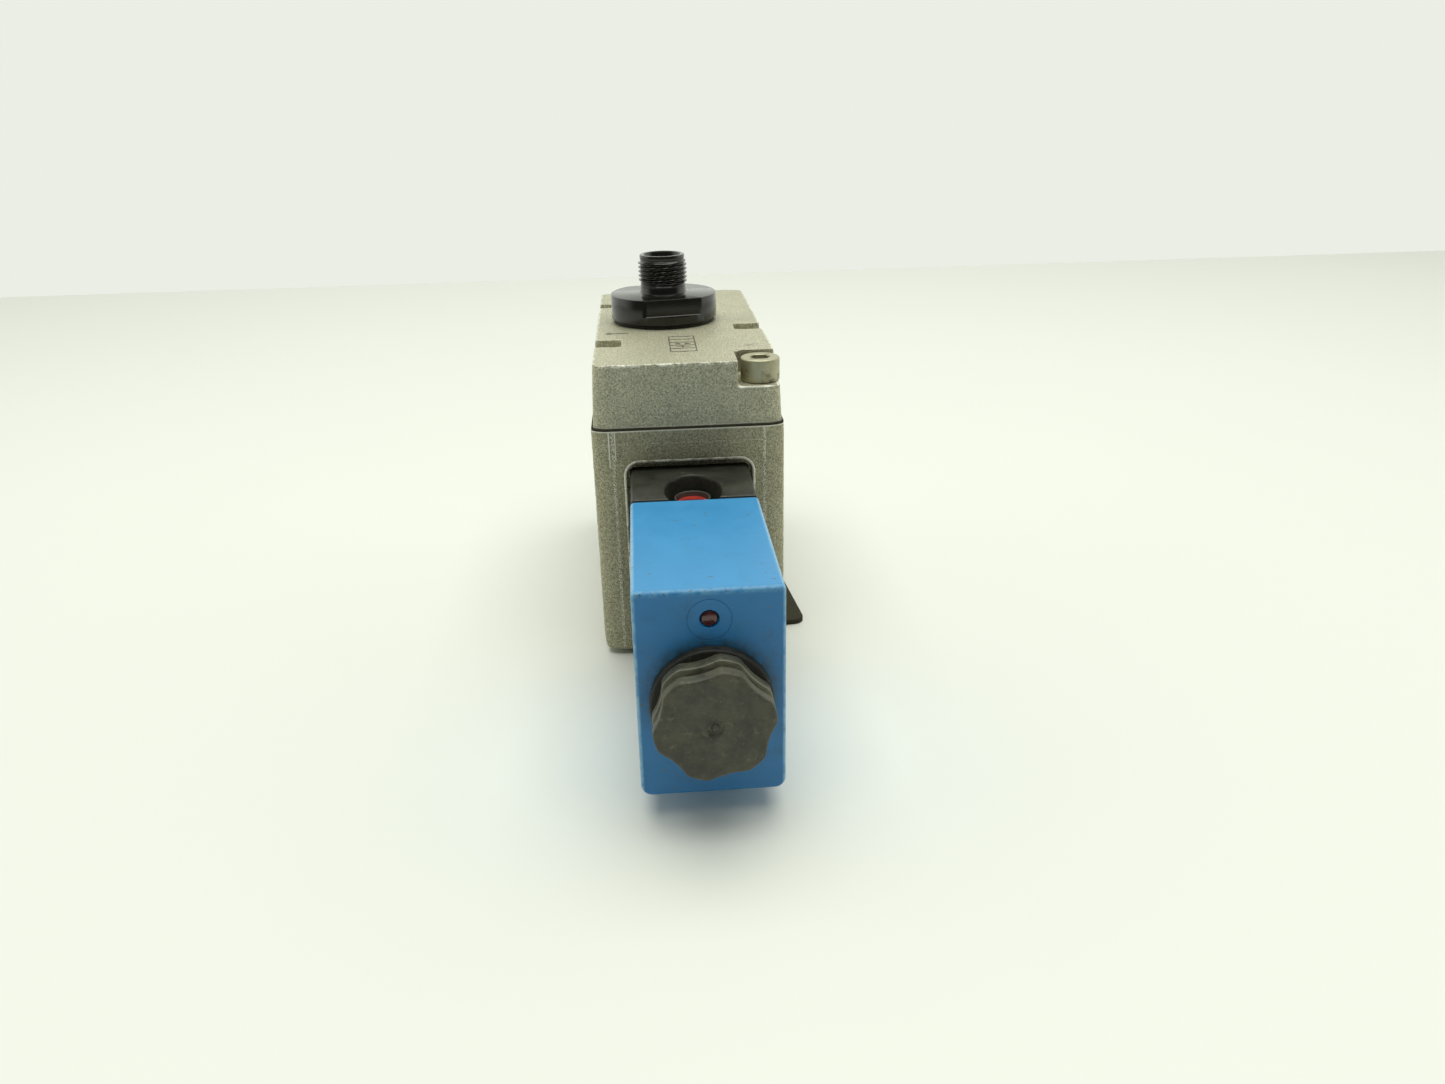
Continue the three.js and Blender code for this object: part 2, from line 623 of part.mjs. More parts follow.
function makeYoke() {
  const { halfWidth, low, high, thick, front, rear } = yoke;
  const heights = [coilAxisHeight + low, coilAxisHeight + high];
  const pieces = [
    box([-halfWidth, halfWidth], [front, front + thick], heights),
    box([-halfWidth, halfWidth], [rear - thick, rear], heights),
    box([-halfWidth, halfWidth], [front, rear], [heights[0], heights[0] + thick]),
  ];
  return cut(join(pieces), [levelRod(coilBore, [0, coilAxisHeight], [front - 1, rear + 1], 24)]);
}

const bobbin = { bore: 4.75, barrel: 5.5, winding: 9.4, flange: 10, flangeThick: 1.2 };
bobbin.front = yoke.front + yoke.thick + 0.2;
bobbin.rear = yoke.rear - yoke.thick - 0.2;

function makeBobbin() {
  const { bore, barrel, flange, flangeThick, front, rear } = bobbin;
  const [inFront, inRear] = [front + flangeThick, rear - flangeThick];
  const profile = [[bore, front], [flange, front], [flange, inFront], [barrel, inFront],
    [barrel, inRear], [flange, inRear], [flange, rear], [bore, rear]];
  return levelTurned(profile, coilAxisHeight, 20, true);
}

function makeWinding() {
  const start = bobbin.front + bobbin.flangeThick + 0.2;
  const end = bobbin.rear - bobbin.flangeThick - 0.2;
  const profile = ring(bobbin.barrel + fitGap, bobbin.winding, start, end);
  return levelTurned(profile, coilAxisHeight, 20, true);
}

function makeLens() {
  const { front } = coil;
  const { radius, height, depth } = led;
  const profile = [[0, front + depth], [radius, front + depth], [radius, front + 0.5], [0.8, front + 0.05],
    [0, front]];
  return levelTurned(profile, height, 20);
}

function makeCoilGasket() {
  const { halfWidth, bottom, top, rear } = coil;
  const gap = 0.5;
  const shape = softRectangle(-halfWidth + gap, halfWidth - gap, bottom + gap, top - gap, 1.2);
  const through = [rear - 1, pilot.front + 1];
  const tools = [
    levelRod(tube.flange + 0.3, [0, coilAxisHeight], through, 24),
    ...terminalSlots(0.3, through),
  ];
  return cut(level(shape, [rear, pilot.front]), tools);
}

// The outline of the hand nut: six round lobes with a shallow scallop between each two.
function nutOutline() {
  const { lobeHalf } = nut;
  const step = (2 * Math.PI) / nut.lobes;
  const valleyHalf = step / 2 - lobeHalf;
  const chord = nut.radius * Math.sin(valleyHalf);
  const dip = nut.radius * Math.cos(valleyHalf) - nut.valley;
  const scallop = (chord * chord + dip * dip) / (2 * dip);
  const reach = nut.valley + scallop;
  const sweep = Math.asin(chord / scallop);
  const shape = new THREE.Shape();
  for (let i = 0; i < nut.lobes; i += 1) {
    const middle = THREE.MathUtils.degToRad(nut.turn) + i * step;
    const between = middle + step / 2;
    shape.absarc(0, 0, nut.radius, middle - lobeHalf, middle + lobeHalf, false);
    const inward = between + Math.PI;
    const [x, y] = [reach * Math.cos(between), reach * Math.sin(between)];
    shape.absarc(x, y, scallop, inward + sweep, inward - sweep, true);
  }
  return shape;
}

function makeNut() {
  const outline = nutOutline();
  const solid = join([
    level(outline, [nut.firstDeck, nut.back], 3),
    levelRod(nut.neck, [0, 0], [nut.groove - 0.5, nut.firstDeck + 0.5], 28),
    level(outline, [nut.front, nut.groove], 3),
  ]);
  const bore = levelRod(core.stud + 0.15, [0, 0], [core.studEnd - 0.3, nut.back + 1], 20);
  return cut(solid, [bore]);
}

// ---- Receptacle and wiring -----------------------------------------------------------

const thread = { first: cover.top + 9.5, crests: 6, pitch: 1, halfWidth: 0.42 };

function makeReceptacle() {
  const { bottom, flange, flangeTop, rootRadius, threadRadius, bore, shank, rim } = receptacle;
  const neck = 5.5;
  const foot = cover.roof - 0.4;
  const step = flangeTop - 4;
  const profile = [[bore, rim], [bore, step], [5, step], [5, foot], [shank, foot], [shank, bottom],
    [flange, bottom], [flange, flangeTop - 0.3], [flange - 0.3, flangeTop], [neck, flangeTop],
    [neck, thread.first - 0.5]];
  for (let i = 0; i < thread.crests; i += 1) {
    const height = thread.first + i * thread.pitch;
    profile.push([rootRadius, height - thread.halfWidth], [threadRadius, height]);
    profile.push([rootRadius, height + thread.halfWidth]);
  }
  profile.push([neck, thread.first + thread.crests * thread.pitch - 0.4], [neck, rim]);
  const blank = turned(profile, 20, true).rotateX(Math.PI / 2);
  const turn = THREE.MathUtils.degToRad(receptacle.flatTurn);
  const far = flange + 7;
  const flatHeights = [bottom + 2, flangeTop + 1];
  const tools = [
    box([-far, far], [receptacle.flats, far], flatHeights).rotateZ(turn),
    box([-far, far], [-far, -receptacle.flats], flatHeights).rotateZ(turn),
  ];
  return cut(blank, tools).translate(receptacle.x, receptacle.y, 0);
}

function makeReceptacleSeal() {
  const { x, y, shank, bottom, sealRadius } = receptacle;
  return uprightTurned(ring(shank + 0.2, sealRadius, cover.top, bottom), [x, y], 32, true);
}

const insert = { radius: 4.15, bottom: 71.2, top: 78.6 };
const pin = { radius: 0.5, top: 82.4, bottom: 68.4, circle: 2.2 };
const pinPlaces = [[0, 0]];
for (let i = 0; i < 4; i += 1) {
  const angle = Math.PI / 4 + (i * Math.PI) / 2;
  pinPlaces.push([pin.circle * Math.cos(angle), pin.circle * Math.sin(angle)]);
}

function makeInsert() {
  const through = [insert.bottom - 1, insert.top + 1];
  const tools = pinPlaces.map((place) => uprightRod(pin.radius + 0.05, place, through, 12));
  const blank = uprightRod(insert.radius, [0, 0], [insert.bottom, insert.top], 18);
  return cut(blank, tools).translate(receptacle.x, receptacle.y, 0);
}

function makePin([x, y]) {
  const { radius, bottom, top } = pin;
  const profile = [[0, bottom], [radius, bottom], [radius, top - 0.4], [radius - 0.25, top], [0, top]];
  return uprightTurned(profile, [receptacle.x + x, receptacle.y + y], 12);
}

const wireRadius = 0.8;

// Each lead drops from its pin, bends forward over the chamber floor and ends at the plug.
function makeWire(pinIndex, plugX) {
  const [px, py] = pinPlaces[pinIndex];
  const start = new THREE.Vector3(receptacle.x + px, receptacle.y + py, pin.bottom - 0.3);
  const plugHeight = (plug.bottom + plug.top) / 2;
  const route = new THREE.CatmullRomCurve3([
    start,
    new THREE.Vector3(start.x, start.y, start.z - 8),
    new THREE.Vector3(start.x + plugX * 0.3, start.y - 3, start.z - 17),
    new THREE.Vector3(plugX * 1.2, -6, plugHeight + 1),
    new THREE.Vector3(plugX, -18, plugHeight),
    new THREE.Vector3(plugX, plug.rear + 0.3, plugHeight),
  ]);
  const section = new THREE.Shape();
  section.absarc(0, 0, wireRadius, 0, 2 * Math.PI, false);
  return new THREE.ExtrudeGeometry(section, { steps: 16, extrudePath: route, curveSegments: 3 });
}

// ---- Assembly ------------------------------------------------------------------------

add('port_gasket', makePortGasket(), 'fibre');
add('body_casting', makeBody(), 'castAlloy');
add('cover_gasket', makeCoverGasket(), 'fibre');
add('cover', makeCover(), 'castAlloy');
for (const [name, [x, y]] of Object.entries(coverScrewPlaces)) {
  add(name, socketCap(coverScrew).rotateX(Math.PI / 2).translate(x, y, coverScrewSeat), 'steel');
}

add('spool_sleeve', makeSleeve(), 'aluminium');
sealPlaces.forEach((y, i) => add(`sleeve_seal_${i + 1}`, makeSeal(y), 'rubber'));
add('spool', makeSpool(), 'aluminium');
add('pilot_piston', makePiston(), 'whitePlastic');
add('piston_seal', makePistonSeal(), 'rubber');
const springRoom = [spool.rear - 1.8, body.rear - endCap.plate - 0.3];
const returnSpring = helix(4.1, 0.8, 5, springRoom[1] - springRoom[0] - 1.2);
add('return_spring', returnSpring.translate(0, springRoom[0] + 0.6, spoolHeight), 'springSteel');
add('end_cap', makeEndCap(), 'castAlloy');
add('end_cap_gasket', makeEndCapGasket(), 'fibre');
for (const [name, [x, z]] of Object.entries(capScrewPlaces)) {
  add(name, socketCap(capScrew).translate(x, capScrewSeat, z), 'steel');
}

add('pilot_block', makePilotBlock(), 'blackPlastic');
add('pilot_gasket', makePilotGasket(), 'rubber');
for (const [name, [x, z, tip]] of Object.entries(pilotScrewPlaces)) {
  const screw = socketCap({ ...pilotScrew, length: tip - pilotScrewSeat });
  add(name, screw.rotateX(Math.PI).translate(x, pilotScrewSeat, z), 'steel');
}
add('override_button', makeOverrideButton(), 'redPlastic');
add('override_bush', makeOverrideBush(), 'greyPlastic');
add('override_seal', makeOverrideSeal(), 'rubber');
const overrideSpring = helix(2.6, 0.5, 3, 2.6).rotateX(Math.PI / 2);
add('override_spring', overrideSpring.translate(0, override.y, overrideBush.floor + 0.6), 'springSteel');

add('pilot_nozzle', makeNozzle(), 'brass');
add('armature_tube', makeTube(), 'brass');
add('fixed_core', makeCore(), 'steel');
add('armature', makeArmature(), 'steel');
add('armature_seat', makeArmatureSeat(), 'rubber');
const armatureSpring = helix(1.25, 0.4, 6, 13.6);
const armatureSpringFoot = core.rear - springWellDepth + 0.6;
add('armature_spring', armatureSpring.translate(0, armatureSpringFoot, coilAxisHeight), 'springSteel');

add('coil_housing', makeCoilHousing(), 'bluePlastic');
add('coil_yoke', makeYoke(), 'steel');
add('coil_bobbin', makeBobbin(), 'whitePlastic');
add('coil_winding', makeWinding(), 'copper');
add('coil_gasket', makeCoilGasket(), 'rubber');
const [leftBlade, rightBlade] = terminalSlots(0, [terminal.front, terminal.rear]);
add('coil_terminal_left', leftBlade, 'brass');
add('coil_terminal_right', rightBlade, 'brass');
add('led_lens', makeLens(), 'redLens');
const boardHeights = [board.bottom, board.top];
add('led_board', box([-board.halfWidth, board.halfWidth], [board.front, board.rear], boardHeights), 'board');
const nutRing = ring(4.8, nut.ringRadius, nut.back, coil.front);
add('nut_seal', levelTurned(nutRing, coilAxisHeight, 36, true), 'rubber');
add('coil_nut', makeNut().translate(0, 0, coilAxisHeight), 'greyPlastic');

add('receptacle_body', makeReceptacle(), 'blackPlastic');
add('receptacle_seal', makeReceptacleSeal(), 'rubber');
add('contact_insert', makeInsert(), 'blackPlastic');
pinPlaces.forEach((place, i) => add(`contact_pin_${i + 1}`, makePin(place), 'brass'));
const plugDepth = [pilot.rear + fitGap, plug.rear];
const plugBody = box([-plug.halfWidth, plug.halfWidth], plugDepth, [plug.bottom, plug.top]);
add('wire_plug', plugBody, 'whitePlastic');
add('lead_wire_brown', makeWire(1, 4.5), 'brownWire');
add('lead_wire_blue', makeWire(2, -4.5), 'blueWire');
add('lead_wire_earth', makeWire(3, 0), 'greenWire');

export default valve;
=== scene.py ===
"""Looks of the solenoid valve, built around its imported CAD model. Metres, +Z up, coil towards -Y."""
import json
import math

import bmesh
import bpy
from mathutils import Matrix, Vector, noise


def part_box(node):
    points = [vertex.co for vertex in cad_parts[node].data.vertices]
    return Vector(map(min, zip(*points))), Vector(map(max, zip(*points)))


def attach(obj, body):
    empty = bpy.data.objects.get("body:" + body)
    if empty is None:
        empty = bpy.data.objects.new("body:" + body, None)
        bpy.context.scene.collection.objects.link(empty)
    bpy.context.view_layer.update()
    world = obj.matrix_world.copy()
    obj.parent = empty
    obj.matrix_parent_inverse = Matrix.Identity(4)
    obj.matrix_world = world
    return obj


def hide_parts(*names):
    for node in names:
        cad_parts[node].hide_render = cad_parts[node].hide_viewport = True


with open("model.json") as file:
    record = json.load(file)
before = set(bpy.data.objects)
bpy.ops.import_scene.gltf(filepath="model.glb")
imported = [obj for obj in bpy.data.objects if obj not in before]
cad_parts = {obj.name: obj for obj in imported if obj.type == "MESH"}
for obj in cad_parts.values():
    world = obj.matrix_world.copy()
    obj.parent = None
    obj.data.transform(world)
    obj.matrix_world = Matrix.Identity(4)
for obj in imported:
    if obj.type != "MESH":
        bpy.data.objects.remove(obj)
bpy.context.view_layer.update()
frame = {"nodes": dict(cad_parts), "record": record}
MM = 0.001
TAU = 2 * math.pi


# ---- Mesh helpers ----

def link_mesh(name, mesh):
    piece = bpy.data.objects.new(name, mesh)
    bpy.context.scene.collection.objects.link(piece)
    return piece


def stack(name, rings, closed=False):
    """A skin over rings with the same number of points. closed joins the last ring to the first."""
    count = len(rings[0])
    points = [point for ring in rings for point in ring]
    faces = []
    spans = len(rings) if closed else len(rings) - 1
    for level in range(spans):
        low = level * count
        high = (level + 1) % len(rings) * count
        for i in range(count):
            j = (i + 1) % count
            faces.append((low + i, low + j, high + j, high + i))
    if not closed:
        faces.append(tuple(reversed(range(count))))
        faces.append(tuple(range(len(points) - count, len(points))))
    mesh = bpy.data.meshes.new(name)
    mesh.from_pydata(points, [], faces)
    tidy_normals(mesh)
    return link_mesh(name, mesh)


def tidy_normals(mesh, weld=False):
    work = bmesh.new()
    work.from_mesh(mesh)
    if weld:
        bmesh.ops.remove_doubles(work, verts=work.verts, dist=2e-6)
    bmesh.ops.recalc_face_normals(work, faces=work.faces)
    work.to_mesh(mesh)
    work.free()


def apply_modifiers(piece):
    graph = bpy.context.evaluated_depsgraph_get()
    finished = bpy.data.meshes.new_from_object(piece.evaluated_get(graph))
    piece.modifiers.clear()
    old = piece.data
    piece.data = finished
    bpy.data.meshes.remove(old)


def cut(piece, *tools):
    for tool in tools:
        step = piece.modifiers.new("cut", "BOOLEAN")
        step.operation = "DIFFERENCE"
        step.solver = "EXACT"
        step.object = tool
    apply_modifiers(piece)
    for tool in tools:
        mesh = tool.data
        bpy.data.objects.remove(tool)
        bpy.data.meshes.remove(mesh)
    return piece


def round_edges(piece, width, segments=2, angle=35):
    step = piece.modifiers.new("edges", "BEVEL")
    step.width = width
    step.segments = segments
    step.limit_method = "ANGLE"
    step.angle_limit = math.radians(angle)
    apply_modifiers(piece)
    return piece


def shade(piece, angle=40):
    """Smooth shading, with edges sharper than angle kept crisp."""
    work = bmesh.new()
    work.from_mesh(piece.data)
    limit = math.radians(angle)
    for face in work.faces:
        face.smooth = True
    for edge in work.edges:
        edge.smooth = len(edge.link_faces) == 2 and edge.calc_face_angle(0) < limit
    work.to_mesh(piece.data)
    work.free()
    return piece


def soft_rectangle(x0, x1, y0, y1, radius, upper=None, inset=0.0):
    """Points of a rectangle with round corners, drawn in by inset; upper is the top corners' radius."""
    steps = 8
    upper = radius if upper is None else upper
    x0, x1, y0, y1 = x0 + inset, x1 - inset, y0 + inset, y1 - inset
    corners = ((x1, y0, -1, 1, radius), (x1, y1, -1, -1, upper),
               (x0, y1, 1, -1, upper), (x0, y0, 1, 1, radius))
    points = []
    for quarter, (x, y, side, rise, r) in enumerate(corners):
        r = max(r - inset, 0.02 * MM)
        for k in range(steps + 1):
            angle = (quarter - 1 + k / steps) * math.pi / 2
            points.append((x + side * r + r * math.cos(angle), y + rise * r + r * math.sin(angle)))
    return points


def upright(outline, z):
    return [Vector((x, y, z)) for x, y in outline]


def level(outline, y):
    """An outline drawn in X and Z, set across the Y axis."""
    return [Vector((x, y, z)) for x, z in outline]


def polar(radius_at, centre, sides):
    """Points round centre, at the distance that radius_at gives for each angle."""
    points = []
    for i in range(sides):
        angle = TAU * i / sides
        radius = radius_at(angle)
        points.append((centre[0] + radius * math.cos(angle), centre[1] + radius * math.sin(angle)))
    return points


def circle(radius, centre, sides):
    return polar(lambda angle: radius, centre, sides)


def turned(name, profile, centre, place, sides=64, closed=False):
    """A turned piece: profile is (radius, distance along the axis); place is upright or level."""
    rings = [place(circle(max(radius, 0.005 * MM), centre, sides), along) for radius, along in profile]
    return stack(name, rings, closed)


def rod(radius, centre, place, start, end, sides=48):
    return turned("tool", [(radius, start), (radius, end)], centre, place, sides)


def block(x0, x1, y0, y1, z0, z1):
    corners = [(x0, y0), (x1, y0), (x1, y1), (x0, y1)]
    return stack("tool", [upright(corners, z0), upright(corners, z1)])


def arc(cx, cy, radius, start, end, steps):
    """Points of an arc in a profile, angles in degrees."""
    angles = [math.radians(start + (end - start) * k / steps) for k in range(steps + 1)]
    return [(cx + radius * math.cos(a), cy + radius * math.sin(a)) for a in angles]


def seat(piece, body, slot, material, *nodes):
    piece.data.materials.clear()
    piece.data.materials.append(material)
    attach(piece, body)
    if nodes:
        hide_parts(*nodes)


def middle_of(node):
    low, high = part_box(node)
    return (low + high) / 2


def room_for(node, gap, y0=None, y1=None):
    """A cutting block round a node with a gap on all sides; y0 and y1 move its ends."""
    low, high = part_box(node)
    y0 = low.y - gap if y0 is None else y0
    y1 = high.y + gap if y1 is None else y1
    return block(low.x - gap, high.x + gap, y0, y1, low.z - gap, high.z + gap)


# ---- Material helpers ----

class Paint:
    """A material's node tree, with short names for the nodes that the finishes use."""

    def __init__(self, name, roughness, metallic=0.0, specular=0.5, ior=1.5, coat=0.0,
                 coat_roughness=0.1):
        self.material = bpy.data.materials.new(name)
        self.material.use_nodes = True
        self.tree = self.material.node_tree
        self.shader = self.tree.nodes["Principled BSDF"]
        self.set(self.shader, {"Roughness": roughness, "Metallic": metallic, "IOR": ior})
        self.set(self.shader, {"Specular IOR Level": specular})
        self.set(self.shader, {"Coat Weight": coat, "Coat Roughness": coat_roughness})
        self.coords = self.tree.nodes.new("ShaderNodeTexCoord").outputs["Object"]

    def set(self, node, inputs):
        for key, value in inputs.items():
            if isinstance(value, bpy.types.NodeSocket):
                self.tree.links.new(value, node.inputs[key])
            else:
                node.inputs[key].default_value = value

    def noise(self, size, detail=3.0, roughness=0.55, stretch=(1, 1, 1), seed=0.0):
        """Noise from 0 to 1 whose patches are about size across."""
        mapping = self.tree.nodes.new("ShaderNodeMapping")
        offset = (seed, seed * 0.7, seed * 0.3)
        self.set(mapping, {"Vector": self.coords, "Scale": stretch, "Location": offset})
        texture = self.tree.nodes.new("ShaderNodeTexNoise")
        self.set(texture, {"Vector": mapping.outputs["Vector"], "Scale": 1 / size})
        self.set(texture, {"Detail": detail, "Roughness": roughness})
        return texture.outputs["Fac"]

    def cells(self, size, stretch=(1, 1, 1), seed=0.0):
        """Distance to the nearest of scattered points about size apart."""
        mapping = self.tree.nodes.new("ShaderNodeMapping")
        self.set(mapping, {"Vector": self.coords, "Scale": stretch, "Location": (seed, seed, seed)})
        texture = self.tree.nodes.new("ShaderNodeTexVoronoi")
        self.set(texture, {"Vector": mapping.outputs["Vector"], "Scale": 1 / size})
        return texture.outputs["Distance"]

    def axes(self):
        split = self.tree.nodes.new("ShaderNodeSeparateXYZ")
        self.set(split, {"Vector": self.coords})
        return split.outputs["X"], split.outputs["Y"], split.outputs["Z"]

    def math(self, operation, a, b=0.0, c=0.0):
        node = self.tree.nodes.new("ShaderNodeMath")
        node.operation = operation
        self.set(node, {0: a, 1: b, 2: c})
        return node.outputs["Value"]

    def step(self, value, low, high, out_low=0.0, out_high=1.0):
        """Smoothly from out_low at low to out_high at high."""
        node = self.tree.nodes.new("ShaderNodeMapRange")
        node.interpolation_type = "SMOOTHSTEP"
        self.set(node, {"Value": value, "From Min": low, "From Max": high})
        self.set(node, {"To Min": out_low, "To Max": out_high})
        return node.outputs["Result"]

    def times(self, value, *others):
        for other in others:
            value = self.math("MULTIPLY", value, other)
        return value

    def most(self, value, *others):
        for other in others:
            value = self.math("MAXIMUM", value, other)
        return value

    def near(self, value, centre, reach):
        """1 where value is within reach of centre, fading to 0 at twice that."""
        away = self.math("ABSOLUTE", self.math("SUBTRACT", value, centre))
        return self.step(away, reach, 2 * reach, 1.0, 0.0)

    def mix(self, factor, a, b):
        node = self.tree.nodes.new("ShaderNodeMix")
        node.data_type = "RGBA"
        sockets = [s for s in node.inputs if s.enabled]
        for socket, value in zip(sockets, (factor, a, b)):
            if isinstance(value, bpy.types.NodeSocket):
                self.tree.links.new(value, socket)
            elif isinstance(value, tuple):
                socket.default_value = (*value, 1.0)
            else:
                socket.default_value = value
        return next(s for s in node.outputs if s.enabled)

    def bump(self, *layers):
        """Each layer is (height from 0 to 1, depth in metres)."""
        normal = None
        for height, depth in layers:
            node = self.tree.nodes.new("ShaderNodeBump")
            self.set(node, {"Height": height, "Distance": depth, "Strength": 1.0})
            if normal:
                self.tree.links.new(normal, node.inputs["Normal"])
            normal = node.outputs["Normal"]
        self.tree.links.new(normal, self.shader.inputs["Normal"])

    def finish(self, colour, roughness=None):
        self.tree.links.new(colour, self.shader.inputs["Base Color"])
        if roughness is not None:
            self.tree.links.new(roughness, self.shader.inputs["Roughness"])
        return self.material


# ---- Places taken from the frame ----

body_low, body_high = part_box("body_casting")
cover_low, cover_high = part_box("cover")
pilot_low, pilot_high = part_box("pilot_block")
coil_low, coil_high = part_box("coil_housing")
nut_low, nut_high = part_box("coil_nut")
ring_low, ring_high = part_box("nut_seal")
button_low, button_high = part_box("override_button")
bush_low, bush_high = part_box("override_bush")
plug_low, plug_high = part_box("receptacle_body")
seal_low, seal_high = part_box("receptacle_seal")
lens_low, lens_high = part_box("led_lens")
tube_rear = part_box("armature_tube")[1].y
nozzle_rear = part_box("pilot_nozzle")[1].y

screw_head_height = 5 * MM
screw_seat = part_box("cover_screw_front")[1].z - screw_head_height
nut_axis = (middle_of("nut_seal").x, middle_of("nut_seal").z)
plug_axis = (middle_of("receptacle_seal").x, middle_of("receptacle_seal").y)
override_axis = (middle_of("override_button").x, middle_of("override_button").y)
lens_axis = (middle_of("led_lens").x, middle_of("led_lens").z)

# The window in the body's front that the pilot block passes through.
window_half = 14 * MM
window_corner = 3 * MM
window_top = pilot_high.z + 2 * MM
window_bottom = pilot_low.z - 1.1 * MM

# The oval well round the override, in the pilot block's top.
well_middle = pilot_low.y + 4.9 * MM
well_half_width = 5.8 * MM
well_half_length = 9.2 * MM

# The hand nut's rear deck, and the groove in front of it.
nut_deck = 2.75 * MM
nut_groove = 1.9 * MM
nut_groove_radius = 8.9 * MM


# ---- Finishes ----

def cast_alloy(name, tint, wear):
    """Grainy cast skin of the given tint; wear adds the bright places of one casting."""
    stain, speck, pit = (0.11, 0.10, 0.07), (0.88, 0.86, 0.72), (0.055, 0.052, 0.032)
    bare = (0.93, 0.92, 0.82)
    dark = tuple(0.20 * c for c in tint)
    light = tuple(0.42 * c for c in tint)
    paint = Paint(name, 0.5, 0.5)
    x, y, z = paint.axes()
    grain = paint.noise(0.42 * MM, 4.0, 0.65)
    fine = paint.noise(0.22 * MM, 2.0, 0.6, seed=3.1)
    patches = paint.noise(14 * MM, 3.0, 0.6, seed=1.7)
    stains = paint.noise(6 * MM, 4.0, 0.7, seed=8.3)
    colour = paint.mix(paint.step(grain, 0.3, 0.7), dark, light)
    colour = paint.mix(paint.step(patches, 0.35, 0.75, 0.0, 0.3), colour, dark)
    colour = paint.mix(paint.step(stains, 0.60, 0.80, 0.0, 0.55), colour, stain)
    sparkle = paint.step(fine, 0.60, 0.68)
    pits = paint.step(fine, 0.41, 0.34)
    colour = paint.mix(paint.times(sparkle, 0.65), colour, speck)
    colour = paint.mix(paint.times(pits, 0.75), colour, pit)
    if wear:
        colour = paint.mix(wear(paint, x, y, z, fine), colour, bare)
    roughness = paint.step(grain, 0.3, 0.7, 0.62, 0.42)
    paint.bump((grain, 0.09 * MM), (fine, 0.05 * MM))
    return paint.finish(colour, roughness)


def worn_cover(paint, x, y, z, fine):
    """Bright metal along the cover's upper edges, on its front screw's ledge and at its foot."""
    pocket_side = (10.6 * MM, 11.4 * MM)
    pocket_rear = (-32 * MM, -34 * MM)
    patchy = paint.step(paint.noise(1.1 * MM, 3.0, 0.7, seed=4.4), 0.42, 0.58)
    side = paint.math("ABSOLUTE", x)
    at_front = paint.near(y, cover_low.y + 0.75 * MM, 0.30 * MM)
    at_side = paint.near(side, cover_high.x - 0.85 * MM, 0.25 * MM)
    on_top = paint.step(z, cover_high.z - 0.9 * MM, cover_high.z - 0.4 * MM)
    edges = paint.times(paint.most(at_front, at_side), on_top, patchy, 0.85)
    beside_pocket = paint.times(at_side, paint.step(y, *pocket_rear))
    at_seat = paint.near(z, screw_seat + 0.05 * MM, 0.25 * MM)
    ledge = paint.times(at_seat, paint.step(x, *pocket_side), paint.most(at_front, beside_pocket))
    foot = paint.times(paint.step(z, cover_low.z + 0.4 * MM, cover_low.z + 0.15 * MM), 0.45)
    return paint.most(edges, ledge, foot)


def edge_metal():
    """The rubbed bright edge of the window."""
    dull, bright, dirt = (0.62, 0.61, 0.50), (0.95, 0.94, 0.84), (0.26, 0.25, 0.18)
    paint = Paint("edge_metal", 0.42, 0.35)
    patches = paint.noise(3.5 * MM, 3.0, 0.6, seed=2.2)
    fine = paint.noise(0.35 * MM, 3.0, 0.6)
    colour = paint.mix(paint.step(fine, 0.35, 0.65), dull, bright)
    colour = paint.mix(paint.step(patches, 0.50, 0.66, 0.0, 0.75), colour, dirt)
    paint.bump((fine, 0.03 * MM))
    return paint.finish(colour)


def worn_body(paint, x, y, z, fine):
    """Bright metal: the machined top edge, rubbed corner lines and a few scratches."""
    corner_line = 16.4 * MM
    outer_scratch, inner_scratch = -17.2 * MM, -15.9 * MM
    outer_foot, inner_foot = (45.5 * MM, 46 * MM), (47.5 * MM, 48 * MM)
    on_front = paint.step(y, body_low.y + 0.9 * MM, body_low.y + 0.3 * MM)
    side = paint.math("ABSOLUTE", x)
    top_edge = paint.times(paint.step(z, body_high.z - 0.34 * MM, body_high.z - 0.16 * MM), 0.7)
    rubbed = paint.times(paint.near(side, corner_line, 0.22 * MM), paint.step(fine, 0.50, 0.56))
    rubbed = paint.times(rubbed, on_front, 0.75)
    outer = paint.times(paint.near(x, outer_scratch, 0.09 * MM), paint.step(z, *outer_foot))
    inner = paint.times(paint.near(x, inner_scratch, 0.08 * MM), paint.step(z, *inner_foot))
    across = paint.near(z, body_high.z - 3 * MM, 0.07 * MM)
    across = paint.times(across, paint.step(fine, 0.44, 0.52), 0.5)
    scratches = paint.times(paint.most(outer, inner, across), on_front, 0.7)
    return paint.most(top_edge, rubbed, scratches)


def from_nut_axis(paint, x, z):
    """Height above the hand nut's axis, and distance from it."""
    across = paint.math("SUBTRACT", x, nut_axis[0])
    above = paint.math("SUBTRACT", z, nut_axis[1])
    squares = paint.math("ADD", paint.times(across, across), paint.times(above, above))
    return above, paint.math("SQRT", squares)


